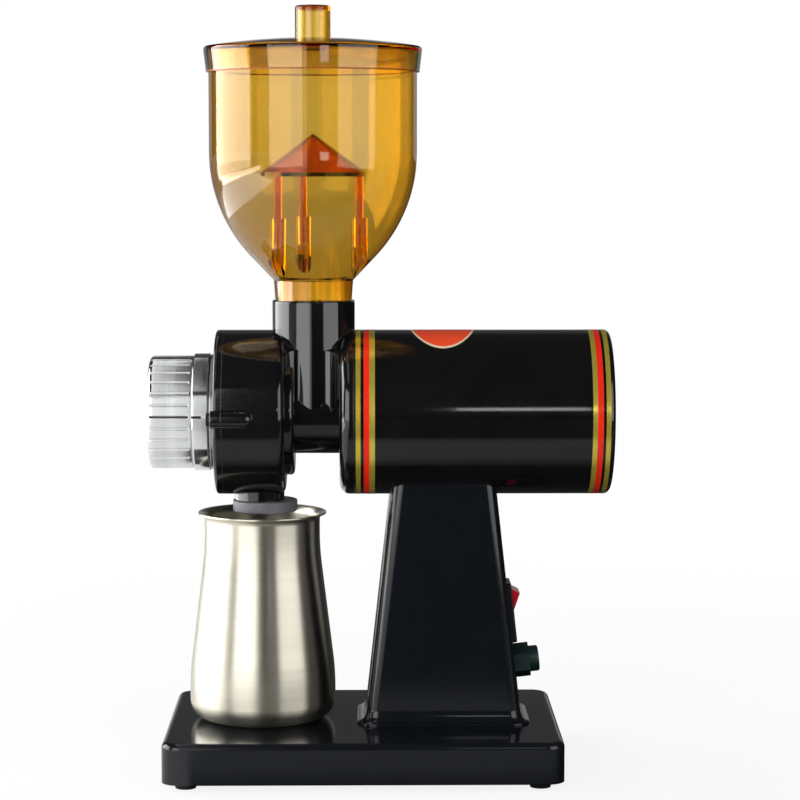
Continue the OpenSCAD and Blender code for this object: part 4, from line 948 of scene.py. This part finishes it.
@dataclass
class DialMarks:
    """Black index marks on the dial: one on the ring and one in the knob's groove beside it.

    Attributes:
        ring_share: Share of the ring's length that its mark takes, from the front.
        half_w: Half of the marks' width.
        proud: How far the ring's paint stands out.
        sunk: How deep its inside lies in the metal.
        groove_in: How deep the groove's paint lies below the knob's surface.
        groove_end: Length of the groove that is left bare at each end.
    """

    ring_share: float = 0.6
    half_w: float = 0.65 * MM
    proud: float = 0.03 * MM
    sunk: float = 0.2 * MM
    groove_in: float = 0.45 * MM
    groove_end: float = 1.0 * MM

    PAINT = Finish("black_index_paint", (9, 9, 10), (15, 15, 16), rough=(0.3, 0.42), edge=0.0)
    NEAR_SIDE = math.pi / 2

    def build(self, dressing: Dressing) -> None:
        """Builds both marks.

        Args:
            dressing: Keeper of the materials.
        """
        low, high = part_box("dial_ring")
        half_l = (high.x - low.x) * self.ring_share / 2
        radius = (high.z - low.z) / 2 + self.proud
        self.mark("dial_ring_mark", radius, low.x + half_l, half_l, dressing)
        low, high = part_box("dial_knob")
        half_l = (high.x - low.x) / 2 - self.groove_end
        radius = (high.z - low.z) / 2 - self.groove_in
        self.mark("knob_groove_mark", radius, (low.x + high.x) / 2, half_l, dressing)

    def mark(self, name: str, radius: float, at_x: float, half_l: float, dressing: Dressing) -> None:
        """Builds one painted mark on the near side.

        Args:
            name: Name of the piece.
            radius: Radius of its outside.
            at_x: Its middle along the shaft.
            half_l: Half of its length.
            dressing: Keeper of the materials.
        """
        piece = Piece(name).sheet()
        piece.wrapped(half_l, self.half_w / radius, radius, self.sunk)
        piece.turned(self.NEAR_SIDE).moved((at_x, 0.0, SHAFT[2]))
        piece.finished(Body.DIAL, "chrome", self.PAINT, dressing)


@dataclass(frozen=True)
class Lamp:
    """A soft lamp with a flat bright face.

    Attributes:
        name: Name of the lamp.
        radiance: Brightness of its face.
    """

    name: str
    radiance: float

    def hang(self, at: Vector, facing: Vector, width: float, height: float) -> None:
        """Hangs the lamp.

        Args:
            at: Middle of its face.
            facing: Direction that it shines in.
            width: Width of its face.
            height: Height of its face.
        """
        lamp = bpy.data.lights.new(self.name, "AREA")
        lamp.shape = "RECTANGLE"
        lamp.size = width
        lamp.size_y = height
        lamp.energy = self.radiance * math.pi * width * height
        holder = added(self.name, lamp)
        holder.matrix_world = aimed(at, facing)
        holder.visible_camera = False
        LOG.info("lamp %s", self.name)


@dataclass(frozen=True)
class Softbox(Lamp):
    """A lamp that stands beside the machine.

    Attributes:
        first: Where its face starts, as an angle from the camera's side towards the motor's rear, in degrees.
        last: Where its face ends.
        reach: Distance of its middle from the machine.
        low: Height of its lower edge.
        high: Height of its upper edge.
    """

    first: float
    last: float
    reach: float
    low: float
    high: float

    def build(self) -> None:
        """Hangs the lamp upright, facing the machine."""
        middle_angle = math.radians((self.first + self.last) / 2)
        half = math.radians((self.last - self.first) / 2)
        out = Vector((math.sin(middle_angle), -math.cos(middle_angle), 0.0))
        at = out * self.reach + Vector((0.0, 0.0, (self.low + self.high) / 2))
        self.hang(at, -out, 2 * self.reach * math.tan(half), self.high - self.low)


@dataclass(frozen=True)
class TopCard(Lamp):
    """A lamp that lies flat above the machine.

    Attributes:
        left: Lower end of its face along X.
        right: Upper end of its face along X.
        front: Lower end of its face along Y.
        back: Upper end of its face along Y.
        height: Its height.
    """

    left: float
    right: float
    front: float
    back: float
    height: float

    def build(self) -> None:
        """Hangs the lamp level, facing down."""
        at = Vector(((self.left + self.right) / 2, (self.front + self.back) / 2, self.height))
        self.hang(at, Vector((0.0, 0.0, -1.0)), self.right - self.left, self.back - self.front)


@dataclass
class Studio:
    """Floor, lamps, surroundings and camera.

    Attributes:
        camera_at: Place of the camera.
        camera_to: Point that it looks at.
        lens: Focal length, in millimetres.
        sensor: Width of the sensor, in millimetres.
        floor_size: Side of the floor.
        table_front: Where the lit table ends in front of the machine.
        table_back: Where it ends close to the machine.
        table_shade: How bright the table is in what the machine mirrors.
        dial_shade: How bright the paper is that lies in front of the dial.
        dial_line: Where that paper ends beside the dial, and how it slants towards the camera.
        dark: Brightness of the room in front of the machine, where glossy surfaces see it.
        backdrop: Brightness of the room behind the machine, where glossy surfaces see it.
        horizon: Brightness of a low strip of the backdrop, which the lid's top mirrors.
        through: Brightness of the backdrop through clear plastic, low down and higher up.
        aside: Brightness of the room beside the machine through clear plastic.
        inside: Brightness of what comes through clear plastic after a turn inside its wall.
        left_card: Brightness of the card on the floor at the left, where glossy surfaces see it.
        left_card_x: Where that card ends at the left and beside the machine.
        left_card_y: Where it ends in front of the machine and behind it.
        ambient: Even light from all round.
    """

    camera_at: Point = (-0.0066, -1.280, 0.3005)
    camera_to: Point = (0.010, 0.0, 0.1835)
    lens: float = 115.7
    sensor: float = 36.0
    floor_size: float = 30.0
    table_front: float = -0.29
    table_back: float = -0.09
    table_shade: float = 0.36
    dial_shade: float = 0.9
    dial_line: Pair = (-0.088, 0.0625)
    dark: float = 0.03
    backdrop: float = 0.08
    horizon: float = 0.4
    through: Pair = (0.42, 0.64)
    aside: float = 0.22
    inside: float = 0.35
    left_card: float = 4.2
    left_card_x: Pair = (-1.5, -0.62)
    left_card_y: Pair = (-0.6, 0.9)
    ambient: float = 0.3

    GREYS = [(0.0, (0.0, 0.0, 0.0)), (1.0, WHITE)]
    PAPER = (0.9, 0.9, 0.9)
    CLIP = (0.05, 100.0)
    # Half widths of the soft edges of the table and of the paper by the dial
    TABLE_EDGE = 0.03
    DIAL_EDGE = 0.002
    # Distances from the origin between which the floor turns plain white, and the shares of white there
    FADE_FROM_TO = (0.2, 0.7)
    FADE_SHARES = (0.86, 1.0)
    # Directions, as parts of a unit vector: Y where the backdrop starts, Y and Z of its low strip, Z where
    # the backdrop through plastic rises, and Y where the side of the room turns into it
    BACKDROP_FROM = (0.8, 0.88)
    STRIP_FROM = 0.85
    STRIP_HEIGHT = (-0.05, 0.16)
    RISE_FROM_TO = (-0.04, 0.02)
    ASIDE_FROM_TO = (0.4, 0.8)
    # A ray that has been bent or mirrored at least once counts more than this
    ONCE = 0.5
    LAMPS = (
        Softbox("left_softbox_low", 6.0, -126.0, -60.0, 1.3, 0.0, 0.08),
        Softbox("left_softbox_middle", 4.2, -132.0, -72.0, 1.3, 0.08, 0.2),
        Softbox("left_softbox_high", 5.8, -130.0, -71.0, 1.3, 0.2, 1.1),
        Softbox("front_left_strip", 3.0, -48.0, -11.0, 1.6, 0.0, 1.2),
        Softbox("front_right_strip", 2.2, 27.0, 72.0, 1.5, 0.0, 1.2),
        Softbox("dial_card", 1.1, -10.5, -6.7, 1.5, 0.0, 1.3),
        TopCard("dial_top_card", 1.0, -0.32, -0.166, -0.8, 0.9, 1.0),
        Softbox("barrel_strip", 4.0, 5.4, 14.4, 0.6, 0.243, 0.285),
    )

    def build(self) -> None:
        """Builds the whole studio."""
        self.build_floor()
        self.build_world()
        for lamp in self.LAMPS:
            lamp.build()
        self.build_camera()

    def build_floor(self) -> None:
        """White floor with a shadow for the camera, and a darker one for what the machine mirrors."""
        mesh = bpy.data.meshes.new("floor")
        shape = bmesh.new()
        bmesh.ops.create_grid(shape, x_segments=1, y_segments=1, size=self.floor_size / 2)
        shape.to_mesh(mesh)
        shape.free()
        floor = added("floor", mesh)
        material = bpy.data.materials.new("white_floor")
        tree = NodeTree(material)
        output = tree.add(Kind.OUTPUT)
        split = tree.add(Kind.SPLIT)
        tree.feed(split.inputs["Vector"], tree.place(ORIGIN))
        along, across = split.outputs["X"], split.outputs["Y"]
        path = tree.add(Kind.LIGHT_PATH)
        seen_through = tree.glow(self.through_level(tree, path, self.through[0]))
        mirrored = self.mirrored_floor(tree, along, across)
        shown = tree.mixed(self.through_plastic(tree, path), mirrored, seen_through)
        shown = tree.mixed(path.outputs["Is Camera Ray"], shown, self.white_floor(tree, along, across))
        tree.feed(output.inputs["Surface"], shown.outputs["Shader"])
        mesh.materials.append(material)

    def mirrored_floor(self, tree: NodeTree, along: Socket, across: Socket) -> Node:
        """Floor as the machine mirrors it: a lit table, a paper by the dial and a bright card at the left.

        Args:
            tree: Tree of the floor's material.
            along: Place along X.
            across: Place along Y.

        Returns:
            The shader's node.
        """
        front = (self.table_front - self.TABLE_EDGE, self.table_front + self.TABLE_EDGE)
        back = (self.table_back - self.TABLE_EDGE, self.table_back + self.TABLE_EDGE)
        table = tree.math("MINIMUM", tree.span(across, front, (self.dark, self.table_shade)),
                          tree.span(across, back, (self.table_shade, self.dark)))
        line, slant = self.dial_line
        beside = tree.math("SUBTRACT", along, tree.math("MULTIPLY", across, slant))
        dial = tree.span(beside, (line - self.DIAL_EDGE, line + self.DIAL_EDGE), (self.dial_shade, 0.0))
        lit = tree.add(Kind.DIFFUSE)
        tree.feed(lit.inputs["Color"], tree.ramp(tree.math("MAXIMUM", table, dial), self.GREYS))
        at_left = tree.math("MULTIPLY", tree.between(along, self.left_card_x),
                            tree.between(across, self.left_card_y))
        return tree.mixed(at_left, lit, tree.glow(self.left_card))

    def white_floor(self, tree: NodeTree, along: Socket, across: Socket) -> Node:
        """Floor as the camera sees it: mostly plain white, with some paper near the machine for its shadow.

        Args:
            tree: Tree of the floor's material.
            along: Place along X.
            across: Place along Y.

        Returns:
            The shader's node.
        """
        paper = tree.add(Kind.DIFFUSE)
        tree.feed(paper.inputs["Color"], self.PAPER)
        plain = tree.span(tree.distance(along, across), self.FADE_FROM_TO, self.FADE_SHARES)
        return tree.mixed(plain, paper, tree.glow(1.0))

    def through_plastic(self, tree: NodeTree, path: Node) -> Socket:
        """1 for a ray that went through clear plastic."""
        return tree.math("GREATER_THAN", path.outputs["Transmission Depth"], self.ONCE)

    def through_level(self, tree: NodeTree, path: Node, level: object) -> Socket:
        """Brightness that a ray finds behind clear plastic.

        Args:
            tree: Tree of the material or world.
            path: Light path node.
            level: Brightness for a ray that went straight through.

        Returns:
            The socket.
        """
        turned = tree.math("GREATER_THAN", path.outputs["Glossy Depth"], self.ONCE)
        return tree.graded(turned, level, self.inside)

    def build_world(self) -> None:
        """White backdrop for the camera, a dim room in mirrors and plastic, and an even light on the rest."""
        world = bpy.data.worlds.new("studio")
        bpy.context.scene.world = world
        tree = NodeTree(world)
        output = tree.add(Kind.WORLD_OUTPUT)
        split = tree.add(Kind.SPLIT)
        tree.feed(split.inputs["Vector"], tree.add(Kind.COORDINATES).outputs["Generated"])
        back, up = split.outputs["Y"], split.outputs["Z"]
        room = tree.span(back, self.BACKDROP_FROM, (self.dark, self.backdrop))
        strip = tree.math("MULTIPLY", tree.math("GREATER_THAN", back, self.STRIP_FROM),
                          tree.between(up, self.STRIP_HEIGHT))
        room = tree.graded(strip, room, self.horizon)
        rising = tree.span(up, self.RISE_FROM_TO, self.through)
        seen_through = tree.span(back, self.ASIDE_FROM_TO, (self.aside, rising))
        path = tree.add(Kind.LIGHT_PATH)
        bent = tree.math("MAXIMUM", path.outputs["Is Glossy Ray"], path.outputs["Is Transmission Ray"])
        level = tree.graded(bent, self.ambient, room)
        seen_through = self.through_level(tree, path, seen_through)
        level = tree.graded(self.through_plastic(tree, path), level, seen_through)
        level = tree.graded(path.outputs["Is Camera Ray"], level, 1.0)
        sky = tree.add(Kind.BACKGROUND)
        tree.feed(sky.inputs["Color"], WHITE)
        tree.feed(sky.inputs["Strength"], level)
        tree.feed(output.inputs["Surface"], sky.outputs["Background"])
        world.cycles.sampling_method = "NONE"

    def build_camera(self) -> None:
        """Camera at the photograph's viewing angle."""
        camera = bpy.data.cameras.new("camera")
        camera.lens = self.lens
        camera.sensor_width = self.sensor
        camera.clip_start, camera.clip_end = self.CLIP
        holder = added("camera", camera)
        at = Vector(self.camera_at)
        holder.matrix_world = aimed(at, Vector(self.camera_to) - at)
        bpy.context.scene.camera = holder


def main() -> None:
    """Builds the classes in order."""
    logging.basicConfig(level=logging.INFO, format="%(name)s: %(message)s")
    bpy.context.scene.view_settings.view_transform = "Standard"
    dressing = Dressing()
    dressing.dress_nodes()
    Column().build(dressing)
    MotorTrim().build(dressing)
    LidEdgeShade().build(dressing)
    DialMarks().build(dressing)
    Studio().build()


if __name__ == "__main__":
    main()
